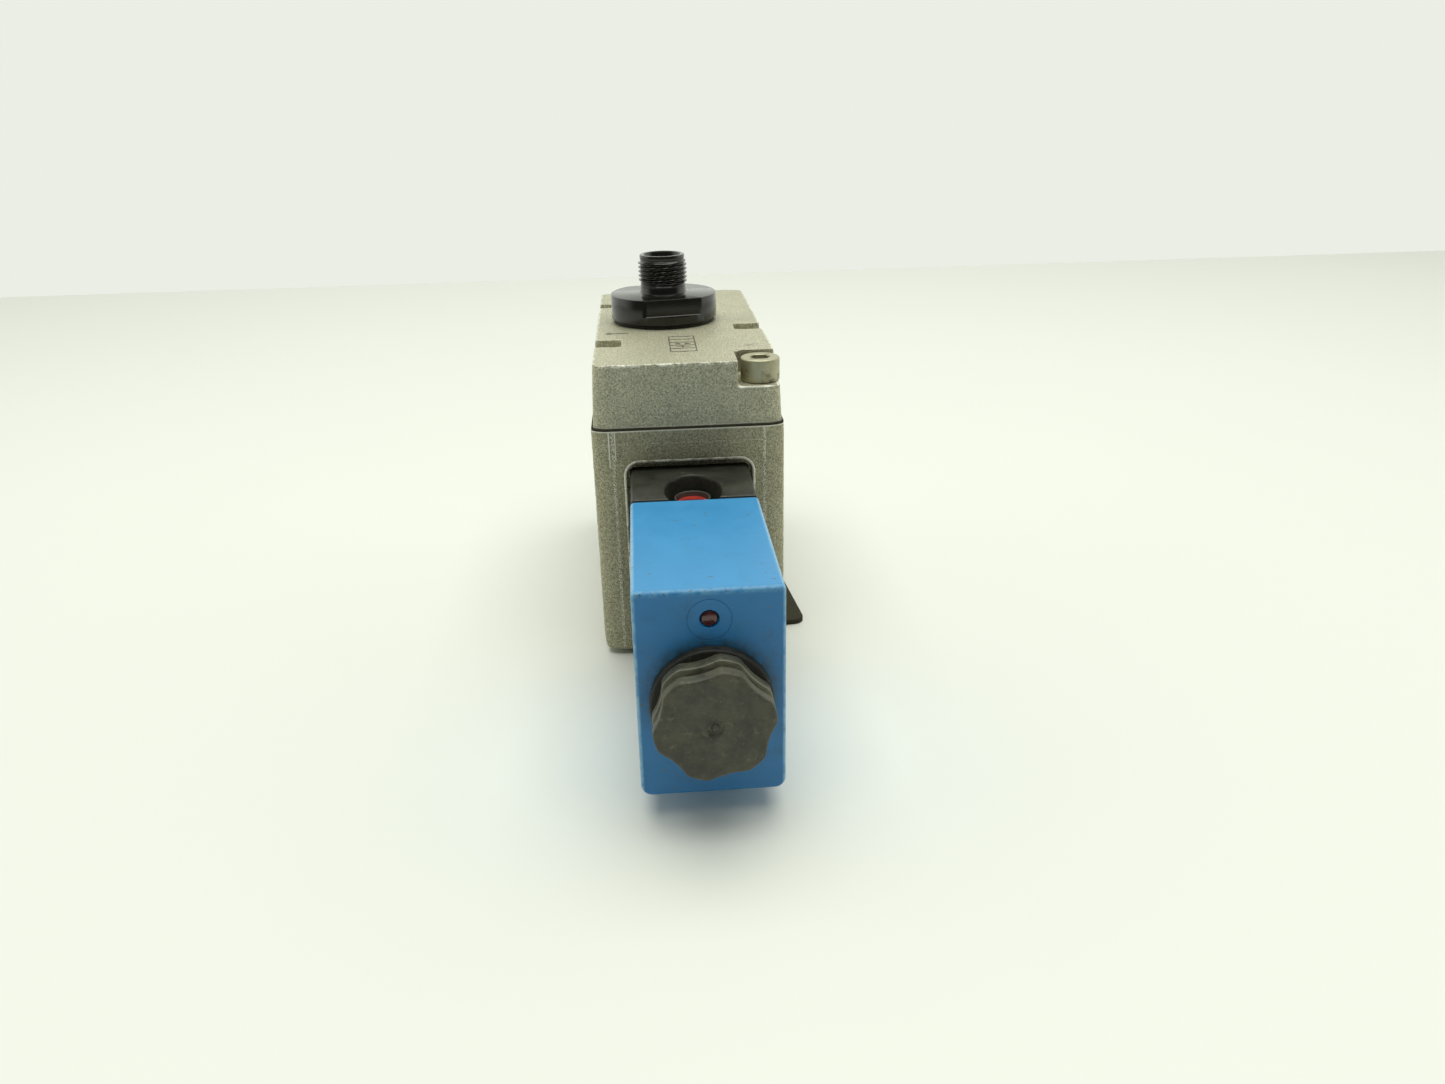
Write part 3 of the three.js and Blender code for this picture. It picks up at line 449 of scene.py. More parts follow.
def soiled_and_shaded_blue(paint, y, colour):
    """Painted shade that darkens the front face, and soil, specks and smears that are strongest there."""
    shade_tone, soil_tone = (0.004, 0.155, 0.43), (0.015, 0.095, 0.17)
    speck_tone, smear_tone = (0.10, 0.13, 0.10), (0.10, 0.24, 0.30)
    front = coil_low.y
    specks = paint.step(paint.cells(4.2 * MM, (1.0, 2.2, 2.2), seed=4.0), 0.13, 0.09)
    chosen = paint.step(paint.noise(6 * MM, 1.0, 0.5, seed=9.0), 0.45, 0.55)
    soil = paint.step(paint.noise(5 * MM, 5.0, 0.75, seed=3.5), 0.50, 0.75, 0.0, 0.45)
    soil = paint.times(soil, paint.step(y, front + 2 * MM, front, 0.35, 1.0))
    smears = paint.step(paint.noise(1.7 * MM, 4.0, 0.7, (1.0, 2.0, 2.0), 5.0), 0.63, 0.72)
    # Painted shade: the coil's front face is mixed towards a darker blue, standing in for the weaker
    # light it gets.
    shaded = paint.step(y, front + 0.7 * MM, front + 0.25 * MM, 0.0, 0.75)
    colour = paint.mix(shaded, colour, shade_tone)
    colour = paint.mix(soil, colour, soil_tone)
    colour = paint.mix(paint.times(specks, chosen, 0.75), colour, speck_tone)
    return paint.mix(paint.times(smears, 0.45, 0.7), colour, smear_tone)


def nut_grime(paint, x, y, z, peel, colour):
    """Grime on the coil's front, round the hand nut and most of all above it."""
    above, radius = from_nut_axis(paint, x, z)
    grime = paint.step(radius, 13.6 * MM, 10.6 * MM)
    grime = paint.times(grime, paint.step(above, -6 * MM, 8 * MM, 0.3, 1.0))
    grime = paint.times(grime, paint.step(peel, 0.25, 0.7, 0.35, 0.85))
    grime = paint.times(grime, paint.step(y, coil_low.y + 0.6 * MM, coil_low.y + 0.2 * MM))
    return paint.mix(grime, colour, (0.022, 0.060, 0.078))


def highlit_and_chipped_blue_edges(paint, x, y, z, peel, colour):
    """Painted highlights: a paler front top edge with dark chips of wear, and paler side edges."""
    lip_highlight_tone, chip, edge_highlight_tone = (0.17, 0.42, 0.60), (0.03, 0.05, 0.05), (0.26, 0.50, 0.68)
    front, top = coil_low.y, coil_high.z
    lip = paint.step(y, front + 1.3 * MM, front + 0.5 * MM)
    lip = paint.times(lip, paint.step(z, top - 1.2 * MM, top - 0.4 * MM))
    chips = paint.step(paint.noise(0.8 * MM, 3.0, 0.7, seed=6.0), 0.60, 0.66)
    # Painted highlight along the rounded front top edge; the dark chips below are real wear.
    colour = paint.mix(paint.times(lip, paint.step(peel, 0.35, 0.65, 0.1, 0.5)), colour, lip_highlight_tone)
    colour = paint.mix(paint.times(lip, paint.times(chips, 0.85)), colour, chip)
    # Painted highlight along the side edges, at the top and at the front.
    at_side = paint.step(paint.math("ABSOLUTE", x), coil_high.x - 0.75 * MM, coil_high.x - 0.3 * MM)
    at_top = paint.step(z, top - 0.8 * MM, top - 0.4 * MM)
    at_front = paint.step(y, front + 0.7 * MM, front + 0.3 * MM)
    edge = paint.times(at_side, paint.most(at_top, at_front), paint.step(peel, 0.3, 0.6, 0.25, 0.75))
    return paint.mix(edge, colour, edge_highlight_tone)


def blue_plastic():
    paint = Paint("blue_moulding", 0.42, coat=0.15, coat_roughness=0.3)
    x, y, z = paint.axes()
    cloud = paint.noise(9 * MM, 3.0, 0.6)
    peel = paint.noise(1.6 * MM, 2.0, 0.5, seed=2.0)
    colour = paint.mix(cloud, (0.027, 0.250, 0.55), (0.046, 0.308, 0.615))
    colour = soiled_and_shaded_blue(paint, y, colour)
    colour = nut_grime(paint, x, y, z, peel, colour)
    colour = highlit_and_chipped_blue_edges(paint, x, y, z, peel, colour)
    roughness = paint.step(cloud, 0.2, 0.8, 0.36, 0.52)
    paint.bump((peel, 0.02 * MM), (paint.noise(0.35 * MM, 2.0, 0.5), 0.006 * MM))
    return paint.finish(colour, roughness)


def dull_plastic(name, dark, light, dust, rough, grain=0.02):
    """Moulded black plastic with handling marks and dust."""
    paint = Paint(name, rough)
    cloud = paint.noise(5 * MM, 4.0, 0.65)
    texture = paint.noise(0.28 * MM, 2.0, 0.5, seed=2.0)
    flecks = paint.step(paint.noise(0.9 * MM, 3.0, 0.7, seed=7.0), 0.64, 0.74)
    colour = paint.mix(paint.step(cloud, 0.3, 0.7), dark, light)
    colour = paint.mix(paint.times(flecks, 0.6), colour, dust)
    roughness = paint.step(cloud, 0.25, 0.75, rough - 0.07, rough + 0.1)
    paint.bump((texture, grain * MM))
    return paint.finish(colour, roughness)


def nut_plastic():
    """Dusty dark moulding, browner towards its rim, with painted shade in its groove."""
    rim_tone, dust_tone = (0.086, 0.080, 0.048), (0.17, 0.165, 0.11)
    deck_tone, groove_shade_tone = (0.20, 0.20, 0.14), (0.010, 0.010, 0.008)
    paint = Paint("nut_plastic", 0.56)
    x, y, z = paint.axes()
    radius = from_nut_axis(paint, x, z)[1]
    cloud = paint.noise(3.6 * MM, 5.0, 0.7)
    spots = paint.step(paint.noise(1.3 * MM, 4.0, 0.7, seed=7.0), 0.56, 0.72)
    texture = paint.noise(0.28 * MM, 2.0, 0.5, seed=2.0)
    colour = paint.mix(paint.step(cloud, 0.35, 0.65), (0.036, 0.038, 0.026), (0.082, 0.084, 0.058))
    rim = paint.times(paint.step(radius, 7.5 * MM, 10 * MM), paint.step(cloud, 0.45, 0.62, 0.2, 0.7))
    colour = paint.mix(rim, colour, rim_tone)
    colour = paint.mix(paint.times(spots, 0.5), colour, dust_tone)
    deck = paint.near(y, nut_high.y - nut_deck, 0.22 * MM)
    deck = paint.times(deck, paint.step(cloud, 0.3, 0.6, 0.3, 0.8))
    colour = paint.mix(deck, colour, deck_tone)
    # Painted shade: near black at the bottom of the groove between the two decks.
    groove = paint.near(y, nut_high.y - 3.9 * MM, 0.7 * MM)
    groove = paint.times(groove, paint.step(radius, 9.2 * MM, 8.9 * MM))
    colour = paint.mix(groove, colour, groove_shade_tone)
    paint.bump((cloud, 0.05 * MM), (texture, 0.03 * MM))
    return paint.finish(colour, paint.step(cloud, 0.25, 0.75, 0.48, 0.66))


def glossy_black():
    paint = Paint("glossy_black", 0.2, ior=1.55)
    cloud = paint.noise(4 * MM, 4.0, 0.65)
    streaks = paint.noise(1.2 * MM, 3.0, 0.6, (1, 1, 0.15), 3.0)
    smudge = paint.step(paint.noise(3 * MM, 4.0, 0.7, seed=5.0), 0.55, 0.75)
    colour = paint.mix(paint.step(cloud, 0.3, 0.75), (0.006, 0.006, 0.005), (0.014, 0.013, 0.010))
    colour = paint.mix(paint.times(smudge, 0.5), colour, (0.055, 0.045, 0.030))
    roughness = paint.step(smudge, 0.0, 1.0, 0.16, 0.38)
    paint.bump((streaks, 0.008 * MM), (cloud, 0.015 * MM))
    return paint.finish(colour, roughness)


def metal(name, base, dirt, rough, brushed=(1, 1, 1)):
    """Bare or plated metal with fine tool marks and dirt in patches."""
    paint = Paint(name, rough, 1.0)
    marks = paint.noise(0.5 * MM, 3.0, 0.6, brushed)
    cloud = paint.noise(2.4 * MM, 4.0, 0.65, seed=4.0)
    colour = paint.mix(paint.step(marks, 0.3, 0.7, 0.0, 0.35), base, tuple(0.75 * c for c in base))
    colour = paint.mix(paint.step(cloud, 0.52, 0.74, 0.0, 0.8), colour, dirt)
    roughness = paint.step(cloud, 0.3, 0.75, rough - 0.06, rough + 0.18)
    paint.bump((marks, 0.012 * MM))
    return paint.finish(colour, roughness)


def rubber(name, dark, light, rough):
    paint = Paint(name, rough, specular=0.35)
    cloud = paint.noise(2.5 * MM, 4.0, 0.7)
    texture = paint.noise(0.22 * MM, 2.0, 0.6, seed=2.0)
    dust = paint.step(paint.noise(0.7 * MM, 3.0, 0.7, seed=6.0), 0.62, 0.75, 0.0, 0.5)
    colour = paint.mix(paint.step(cloud, 0.3, 0.7), dark, light)
    colour = paint.mix(dust, colour, (0.16, 0.16, 0.13))
    paint.bump((texture, 0.02 * MM))
    return paint.finish(colour, paint.step(cloud, 0.3, 0.7, rough - 0.1, rough + 0.1))


def clear_red():
    paint = Paint("indicator_red", 0.12, coat=0.6, coat_roughness=0.08)
    cloud = paint.noise(1.2 * MM, 3.0, 0.6)
    colour = paint.mix(paint.step(cloud, 0.35, 0.7), (0.040, 0.007, 0.008), (0.105, 0.016, 0.018))
    paint.bump((cloud, 0.02 * MM))
    return paint.finish(colour, paint.step(cloud, 0.3, 0.7, 0.1, 0.28))


cast_body = cast_alloy("cast_body", (1.28, 1.22, 0.82), worn_body)
cast_cover = cast_alloy("cast_cover", (1.60, 1.55, 1.12), worn_cover)
cast_plain = cast_alloy("cast_plain", (1.40, 1.36, 1.00), None)
cast_dark = cast_alloy("cast_dark", (0.55, 0.52, 0.38), None)
window_metal = edge_metal()
coil_blue = blue_plastic()
pilot_black = dull_plastic(
    "pilot_black", (0.019, 0.020, 0.014), (0.034, 0.036, 0.026), (0.19, 0.19, 0.14), 0.42)
nut_grey = nut_plastic()
bush_grey = dull_plastic("bush_grey", (0.06, 0.06, 0.052), (0.10, 0.10, 0.085), (0.2, 0.2, 0.16), 0.35)
insert_black = dull_plastic(
    "insert_black", (0.014, 0.014, 0.012), (0.03, 0.03, 0.025), (0.15, 0.14, 0.1), 0.5)
button_red = dull_plastic(
    "button_red", (0.40, 0.030, 0.022), (0.52, 0.050, 0.035), (0.30, 0.16, 0.12), 0.32, 0.01)
pale_plastic = dull_plastic(
    "pale_plastic", (0.62, 0.61, 0.54), (0.74, 0.73, 0.66), (0.4, 0.38, 0.3), 0.4)
board_green = dull_plastic("board_green", (0.03, 0.15, 0.05), (0.05, 0.22, 0.08), (0.3, 0.3, 0.2), 0.35)
receptacle_black = glossy_black()
screw_steel = metal("screw_steel", (0.50, 0.48, 0.34), (0.12, 0.10, 0.06), 0.5)
inner_steel = metal("inner_steel", (0.62, 0.61, 0.58), (0.30, 0.29, 0.26), 0.28)
spring_steel = metal("spring_steel", (0.55, 0.55, 0.55), (0.25, 0.25, 0.24), 0.25)
turned_aluminium = metal(
    "turned_aluminium", (0.75, 0.75, 0.74), (0.45, 0.45, 0.43), 0.3, brushed=(1, 8, 1))
turned_brass = metal("turned_brass", (0.74, 0.56, 0.27), (0.35, 0.24, 0.12), 0.28)
wound_copper = metal("wound_copper", (0.66, 0.33, 0.18), (0.36, 0.15, 0.08), 0.3, brushed=(1, 9, 1))
gasket_rubber = rubber("gasket_rubber", (0.026, 0.024, 0.013), (0.050, 0.046, 0.026), 0.9)
seal_rubber = rubber("seal_rubber", (0.014, 0.014, 0.012), (0.032, 0.031, 0.026), 0.6)
lens_red = clear_red()
wire_brown = dull_plastic("wire_brown", (0.10, 0.045, 0.02), (0.14, 0.06, 0.03), (0.3, 0.25, 0.2), 0.35)
wire_blue = dull_plastic("wire_blue", (0.02, 0.09, 0.36), (0.03, 0.13, 0.45), (0.3, 0.3, 0.3), 0.35)
wire_green = dull_plastic("wire_green", (0.08, 0.28, 0.04), (0.13, 0.38, 0.06), (0.5, 0.5, 0.2), 0.35)

SLOT_FINISH = {
    "cast_alloy": cast_plain, "steel": inner_steel, "spring_steel": spring_steel,
    "aluminium": turned_aluminium, "brass": turned_brass, "copper": wound_copper,
    "black_plastic": insert_black, "grey_plastic": bush_grey, "blue_plastic": coil_blue,
    "red_plastic": button_red, "red_lens": lens_red, "rubber": seal_rubber, "fibre": gasket_rubber,
    "white_plastic": pale_plastic, "board": board_green, "wire_brown": wire_brown,
    "wire_blue": wire_blue, "wire_green": wire_green,
}


def finish_cad_nodes():
    slots = {part["node"]: part["material_slot"] for part in frame["record"]["subparts"]}
    for name, node in frame["nodes"].items():
        node.data.materials.clear()
        node.data.materials.append(SLOT_FINISH[slots[name]])


# ---- Castings ----

def cast_copy(name, node, voxel, grain, lean=False, flat_z=None, flat_up=1):
    """The CAD casting remade in small faces, with soft edges and an uneven cast skin.

    lean tucks its foot in. A face at flat_z that points up (1) or down (-1) stays crisp.
    """
    mesh = frame["nodes"][node].data.copy()
    tidy_normals(mesh, weld=True)
    spare = 1.2 * MM
    if flat_z is not None:
        for vert in mesh.vertices:
            if abs(vert.co.z - flat_z) < 0.01 * MM:
                vert.co.z += flat_up * spare
    piece = link_mesh(name, mesh)
    remade = piece.modifiers.new("remesh", "REMESH")
    remade.mode = "VOXEL"
    remade.voxel_size = voxel
    smooth = piece.modifiers.new("smooth", "SMOOTH")
    smooth.factor = 0.5
    smooth.iterations = 3
    apply_modifiers(piece)
    work = bmesh.new()
    work.from_mesh(piece.data)
    work.normal_update()
    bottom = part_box(node)[0].z
    coarse_size, fine_size = 2.6 * MM, 0.9 * MM
    foot_height, foot_tuck, flank = 5 * MM, 0.4 * MM, 17 * MM
    for vert in work.verts:
        coarse = noise.noise(vert.co / coarse_size)
        fine = noise.noise(vert.co / fine_size)
        drop = grain * (0.5 * coarse + 0.5 * fine - 0.9)
        vert.co += vert.normal * drop
        if lean and abs(vert.co.x) > flank:
            foot = min(max((bottom + foot_height - vert.co.z) / foot_height, 0.0), 1.0)
            vert.co.x -= math.copysign(foot_tuck * foot * foot, vert.co.x)
    for face in work.faces:
        face.smooth = True
    work.to_mesh(piece.data)
    work.free()
    if flat_z is not None:
        ends = sorted((flat_z, flat_z + flat_up * 4 * spare))
        beyond = 60 * MM
        cut(piece, block(-beyond, beyond, -beyond, beyond, *ends))
    return piece


def make_cover_marks():
    """Raised cast lines on the cover: a ladder frame with a cross and two pads, and an arrow."""
    line, sunk, rungs = 0.32 * MM, 0.3 * MM, 5
    left, right = -3.0 * MM, 3.1 * MM
    front, rear = -32.3 * MM, -17.0 * MM
    strips = [(left, left + line, front, rear), (right - line, right, front, rear)]
    for k in range(rungs + 1):
        y = front + (rear - front) * k / rungs
        strips.append((left, right, y - line / 2, y + line / 2))
    cross = [(-1.5, 1.6, 4.4, 4.7), (-0.1, 0.2, 3.2, 6)]
    pads = [(-1.6, -0.4, 7.2, 8.2), (0.5, 1.8, 7.2, 8.2)]
    strips += [(x0 * MM, x1 * MM, front + y0 * MM, front + y1 * MM) for x0, x1, y0, y1 in cross + pads]
    arrow = [(-16.2, -12.2, -11.4, -11.0), (-17.6, -16.2, -12.2, -10.2)]
    strips += [tuple(side * MM for side in strip) for strip in arrow]
    work = bmesh.new()
    for x0, x1, y0, y1 in strips:
        low = Vector((x0, y0, cover_high.z - sunk))
        high = Vector((x1, y1, cover_high.z))
        place = Matrix.Translation((low + high) / 2) @ Matrix.Diagonal((*(high - low), 1.0))
        bmesh.ops.create_cube(work, size=1.0, matrix=place)
    mesh = bpy.data.meshes.new("cover_marks")
    work.to_mesh(mesh)
    work.free()
    return shade(round_edges(link_mesh("cover_marks", mesh), 0.07 * MM, 2, 50))


def window_outline(inset):
    sides = (-window_half, window_half, window_bottom, window_top)
    return soft_rectangle(*sides, window_corner, inset=inset)


def make_window_edge():
    """A thin rubbed rim round the pilot window; its section is in mm, inwards and deep."""
    section = [(0.25, 0.9), (0.25, 0.16), (0.14, 0.04), (-0.24, 0.02), (-0.36, 0.1), (-0.42, 0.9)]
    rings = [level(window_outline(inset * MM), body_low.y + deep * MM) for inset, deep in section]
    return shade(stack("window_edge", rings, closed=True), 50)


def make_window_step():
    """The step inside the window that the pilot block passes through."""
    gap, overlap = 0.15 * MM, 0.3 * MM
    front, rear = body_low.y + 2.2 * MM, body_low.y + 6 * MM
    sides = (pilot_low.x - gap, pilot_high.x + gap, pilot_low.z - gap, pilot_high.z + gap)
    outer, inner = window_outline(-overlap), soft_rectangle(*sides, MM)
    rings = [level(outer, front), level(inner, front), level(inner, rear), level(outer, rear)]
    return shade(stack("window_step", rings, closed=True), 50)


def make_castings():
    shell = cast_copy("body_skin", "body_casting", 0.5 * MM, 0.09 * MM, lean=True, flat_z=body_high.z)
    seat(shade(shell, 50), "valve", "cast_alloy", cast_body, "body_casting")
    seat(make_window_edge(), "valve", "cast_alloy", window_metal)
    seat(make_window_step(), "valve", "cast_alloy", cast_body)
    lid = cast_copy("cover_skin", "cover", 0.42 * MM, 0.10 * MM, flat_z=cover_low.z, flat_up=-1)
    seat(shade(lid, 50), "valve", "cast_alloy", cast_cover, "cover")
    seat(make_cover_marks(), "valve", "cast_alloy", cast_dark)
    cap = cast_copy("end_cap_skin", "end_cap", 0.4 * MM, 0.06 * MM)
    seat(cap, "valve", "cast_alloy", cast_plain, "end_cap")


# ---- Gaskets ----

def softened_copy(name, node, width, segments=3):
    mesh = frame["nodes"][node].data.copy()
    tidy_normals(mesh, weld=True)
    piece = link_mesh(name, mesh)
    round_edges(piece, width, segments, 40)
    return shade(piece, 35)


def make_gaskets():
    sheet = softened_copy("port_gasket_sheet", "port_gasket", 0.2 * MM)
    seat(sheet, "valve", "fibre", gasket_rubber, "port_gasket")
    joint = softened_copy("cover_gasket_sheet", "cover_gasket", 0.08 * MM, 2)
    seat(joint, "valve", "fibre", gasket_rubber, "cover_gasket")


# ---- Screws ----

def cap_screw(name, centre, tip, top):
    """A smooth M5 socket cap screw from tip to top."""
    head_radius, shank_radius, key = 4.25 * MM, 2.45 * MM, 4 * MM
    lip, chamfer, burr = 0.4 * MM, 0.6 * MM, 0.15 * MM
    under = top - screw_head_height
    profile = [(0.0, tip), (shank_radius - chamfer, tip), (shank_radius, tip + chamfer),
               (shank_radius, under), (head_radius - burr, under), (head_radius, under + burr)]
    profile += arc(head_radius - lip, top - lip, lip, 0, 90, 6)
    piece = turned(name, profile, centre, upright, 96)
    corner = key / math.sqrt(3)
    depth = screw_head_height / 2
    hexagon = circle(corner, centre, 6)
    socket = stack("tool", [
        upright(circle(0.05 * MM, centre, 6), top - depth - 0.9 * MM), upright(hexagon, top - depth),
        upright(hexagon, top - burr), upright(circle(corner * 1.12, centre, 6), top + 0.1 * MM)])
    return shade(cut(piece, socket), 30)


def make_cover_screws():
    for node in ("cover_screw_front", "cover_screw_rear"):
        low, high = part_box(node)
        middle = middle_of(node)
        piece = cap_screw(node + "_piece", (middle.x, middle.y), low.z, high.z)
        seat(piece, "valve", "steel", screw_steel, node)


# ---- Pilot block and override ----

def well_outline(grow):
    """The oval well round the override, open at the block's front."""
    across, along = well_half_width + grow, well_half_length + grow
    return [(across * x, well_middle + along * y) for x, y in circle(1.0, (0.0, 0.0), 96)]


def make_pilot_block():
    front, rear, top = pilot_low.y, pilot_high.y, pilot_high.z
    sides = (pilot_low.x, pilot_high.x, pilot_low.z, top)
    corner = 0.9 * MM
    edge = [(0.0, 0.35), (0.12, 0.12), (0.35, 0.0)]
    levels = [(front + along * MM, inset) for along, inset in edge]
    levels += [(rear - along * MM, inset) for along, inset in reversed(edge)]
    rings = [level(soft_rectangle(*sides, corner, inset=inset * MM), y) for y, inset in levels]
    piece = stack("pilot_block_skin", rings)
    well = [(0.0, bush_low.z), (0.0, top - 0.6 * MM), (0.12 * MM, top - 0.25 * MM),
            (0.3 * MM, top - 0.05 * MM), (0.6 * MM, top + 0.1 * MM), (0.6 * MM, top + MM)]
    bush_hole, stem_hole = 2.7 * MM, 1.8 * MM
    tube_hole, nozzle_hole, air_hole = 6.1 * MM, 3.1 * MM, 1.5 * MM
    screw_head_hole, screw_hole = 2.75 * MM, 1.65 * MM
    tools = [
        stack("tool", [upright(well_outline(grow), z) for grow, z in well]),
        rod(bush_hole, override_axis, upright, bush_low.z - 2.2 * MM, bush_low.z + 0.5 * MM),
        rod(stem_hole, override_axis, upright, button_low.z - 2.4 * MM, bush_low.z),
        rod(tube_hole, nut_axis, level, front - MM, tube_rear + 0.2 * MM),
        rod(nozzle_hole, nut_axis, level, tube_rear, nozzle_rear + 0.2 * MM),
        rod(air_hole, nut_axis, level, nozzle_rear, rear + MM, 24),
    ]
    for node in ("pilot_screw_high", "pilot_screw_low"):
        place = (middle_of(node).x, middle_of(node).z)
        tools.append(rod(screw_head_hole, place, level, front - MM, front + 2.8 * MM))
        tools.append(rod(screw_hole, place, level, front - MM, rear + MM, 24))
    for node in ("coil_terminal_left", "coil_terminal_right"):
        tools.append(room_for(node, 0.2 * MM, y0=front - MM))
    return shade(cut(piece, *tools), 32)


def make_bush():
    """A cup with a thin rounded wall."""
    outer = (bush_high.x - bush_low.x) / 2
    inner, wall = 1.8 * MM, 0.35 * MM
    floor = bush_low.z + MM
    profile = [(inner, bush_low.z), (outer, bush_low.z)]
    profile += arc(outer - wall / 2, bush_high.z - wall / 2, wall / 2, 0, 180, 8)
    profile += [(outer - wall, floor), (inner, floor)]
    return shade(turned("override_bush_piece", profile, override_axis, upright, 64, closed=True), 50)


def make_button():
    """A round head with a soft edge and a screwdriver slot, on a stem."""
    radius, stem = (button_high.x - button_low.x) / 2, 1.5 * MM
    top = button_high.z
    under = top - 2.6 * MM
    profile = [(0.0, button_low.z), (1.1 * MM, button_low.z), (stem, button_low.z + 0.6 * MM),
               (stem, under), (radius - 0.2 * MM, under), (radius, top - 2.4 * MM)]
    profile += arc(radius - 0.6 * MM, top - 0.75 * MM, 0.6 * MM, 0, 78, 6)
    profile += [(radius * 0.5, top - 0.04 * MM), (0.0, top)]
    piece = turned("override_button_piece", profile, override_axis, upright, 64)
    half, middle = 2.4 * MM, override_axis[1]
    slot = block(-half, half, middle - 0.5 * MM, middle + 0.5 * MM, top - 0.9 * MM, top + MM)
    return shade(cut(piece, slot), 35)


def make_pilot():
    seat(make_pilot_block(), "valve", "black_plastic", pilot_black, "pilot_block")
    seat(make_bush(), "valve", "grey_plastic", bush_grey, "override_bush")
    seat(make_button(), "override", "red_plastic", button_red, "override_button")
    for node in ("pilot_gasket", "coil_gasket"):
        piece = softened_copy(node + "_sheet", node, 0.12 * MM)
        seat(piece, "valve", "rubber", seal_rubber, node)


# ---- Coil ----

def coil_outline(inset):
    """The moulding's section, whose lower edges are rounder."""
    sides = (coil_low.x, coil_high.x, coil_low.z, coil_high.z)
    return soft_rectangle(*sides, 2.0 * MM, upper=0.9 * MM, inset=inset)


def make_coil():
    front, rear = coil_low.y, coil_high.y
    edge = 0.75 * MM
    quarter = [k / 6 * math.pi / 2 for k in range(7)]
    levels = [(front + edge * (1 - math.cos(a)), edge * (1 - math.sin(a))) for a in quarter]
    parting = front + 1.15 * MM
    groove = 0.07 * MM
    levels += [(parting - 0.1 * MM, 0.0), (parting, groove), (parting + 0.1 * MM, 0.0)]
    levels += [(rear - edge * (1 - math.sin(a)), edge * (1 - math.cos(a))) for a in quarter]
    piece = stack("coil_moulding", [level(coil_outline(inset), y) for y, inset in levels])
    lens_groove = [(3.92 * MM, front - 0.03 * MM), (3.88 * MM, front + 0.08 * MM),
                   (3.70 * MM, front + 0.08 * MM), (3.66 * MM, front - 0.03 * MM)]
    lens_hole = [(1.95 * MM, front - 0.3 * MM), (1.6 * MM, front + 0.35 * MM),
                 (1.6 * MM, front + 4.2 * MM)]
    bore, flange, room = 5.7 * MM, 8.3 * MM, 0.25 * MM
    tools = [
        rod(bore, nut_axis, level, front - MM, rear + MM),
        rod(flange, nut_axis, level, rear - 1.6 * MM, rear + MM),
        room_for("coil_yoke", room),
        turned("tool", lens_groove, lens_axis, level, 64, closed=True),
        turned("tool", lens_hole, lens_axis, level, 48),
        room_for("led_board", room),
        room_for("coil_terminal_left", 0.1 * MM, y1=rear + MM),
        room_for("coil_terminal_right", 0.1 * MM, y1=rear + MM),
    ]
    seat(shade(cut(piece, *tools), 32), "valve", "blue_plastic", coil_blue, "coil_housing")
    make_lens()


def make_lens():
    radius, dome, front = (lens_high.x - lens_low.x) / 2, 0.55 * MM, lens_low.y
    profile = [(0.0, lens_high.y), (radius, lens_high.y), (radius, front + dome)]
    for k in range(1, 8):
        angle = k / 8 * math.pi / 2
        profile.append((radius * math.cos(angle), front + dome * (1 - math.sin(angle))))
    profile.append((0.0, front))
    lens = turned("indicator_lens", profile, lens_axis, level, 40)
    seat(shade(lens, 60), "valve", "red_lens", lens_red, "led_lens")


# ---- Hand nut ----

def nut_radius(angle, radius, valley, lobes, turn):
    """Distance to the nut's outline: round lobes with a shallow circular scallop between each two."""
    half = math.radians(11)
    step = TAU / lobes
    valley_half = step / 2 - half
    chord = radius * math.sin(valley_half)
    dip = radius * math.cos(valley_half) - valley
    scallop = (chord * chord + dip * dip) / (2 * dip)
    reach = valley + scallop
    off = (angle - turn + step / 2) % step - step / 2
    if abs(off) <= half:
        return radius
    away = step / 2 - abs(off)
    return reach * math.cos(away) - math.sqrt(max(scallop ** 2 - (reach * math.sin(away)) ** 2, 0.0))


def make_nut():
    """Two scalloped decks with a round groove between them, and a dimple in the front face."""
    sides, lobes = 240, 6
    radius, valley, turn = 10.48 * MM, 9.46 * MM, math.radians(13)
    spread = math.radians(3)
    back, front = nut_high.y, nut_low.y
    deck = back - nut_deck
    groove_front = deck - nut_groove

    def outline(angle):
        around = [angle + k * spread / 2 for k in (-2, -1, 0, 1, 2)]
        return sum(nut_radius(near, radius, valley, lobes, turn) for near in around) / len(around)

    def ring(y, inset=0.0, limit=1.0):
        return level(polar(lambda angle: min(outline(angle) - inset, limit), nut_axis, sides), y)

    rings = [
        ring(back, 0.5 * MM), ring(back - 0.2 * MM, 0.1 * MM), ring(back - 0.5 * MM),
        ring(deck + 0.35 * MM), ring(deck + 0.1 * MM, 0.1 * MM), ring(deck, 0.35 * MM),
        ring(deck - 0.1 * MM, 1.5 * MM, nut_groove_radius),
        ring(groove_front + 0.1 * MM, 1.5 * MM, nut_groove_radius),
        ring(groove_front, 0.3 * MM), ring(groove_front - 0.1 * MM, 0.08 * MM),
        ring(groove_front - 0.3 * MM),
        ring(front + 0.45 * MM), ring(front + 0.18 * MM, 0.08 * MM), ring(front + 0.04 * MM, 0.26 * MM),
        ring(front, 0.5 * MM), ring(front, 0.9 * MM),
    ]
    # The flat face runs in to a shallow dimple with a small pip in its middle: radius and depth, mm.
    face = [(7.5, 0.0), (5.0, 0.02), (3.0, 0.03), (1.75, 0.04), (1.55, 0.14), (1.35, 0.36), (1.0, 0.42),
            (0.72, 0.42), (0.62, 0.34), (0.5, 0.12), (0.28, 0.05), (0.06, 0.03)]
    rings += [level(circle(r * MM, nut_axis, sides), front + depth * MM) for r, depth in face]
    piece = stack("hand_nut", rings)
    bore = rod(3.15 * MM, nut_axis, level, front + 1.7 * MM, back + MM)
    return shade(cut(piece, bore), 38)


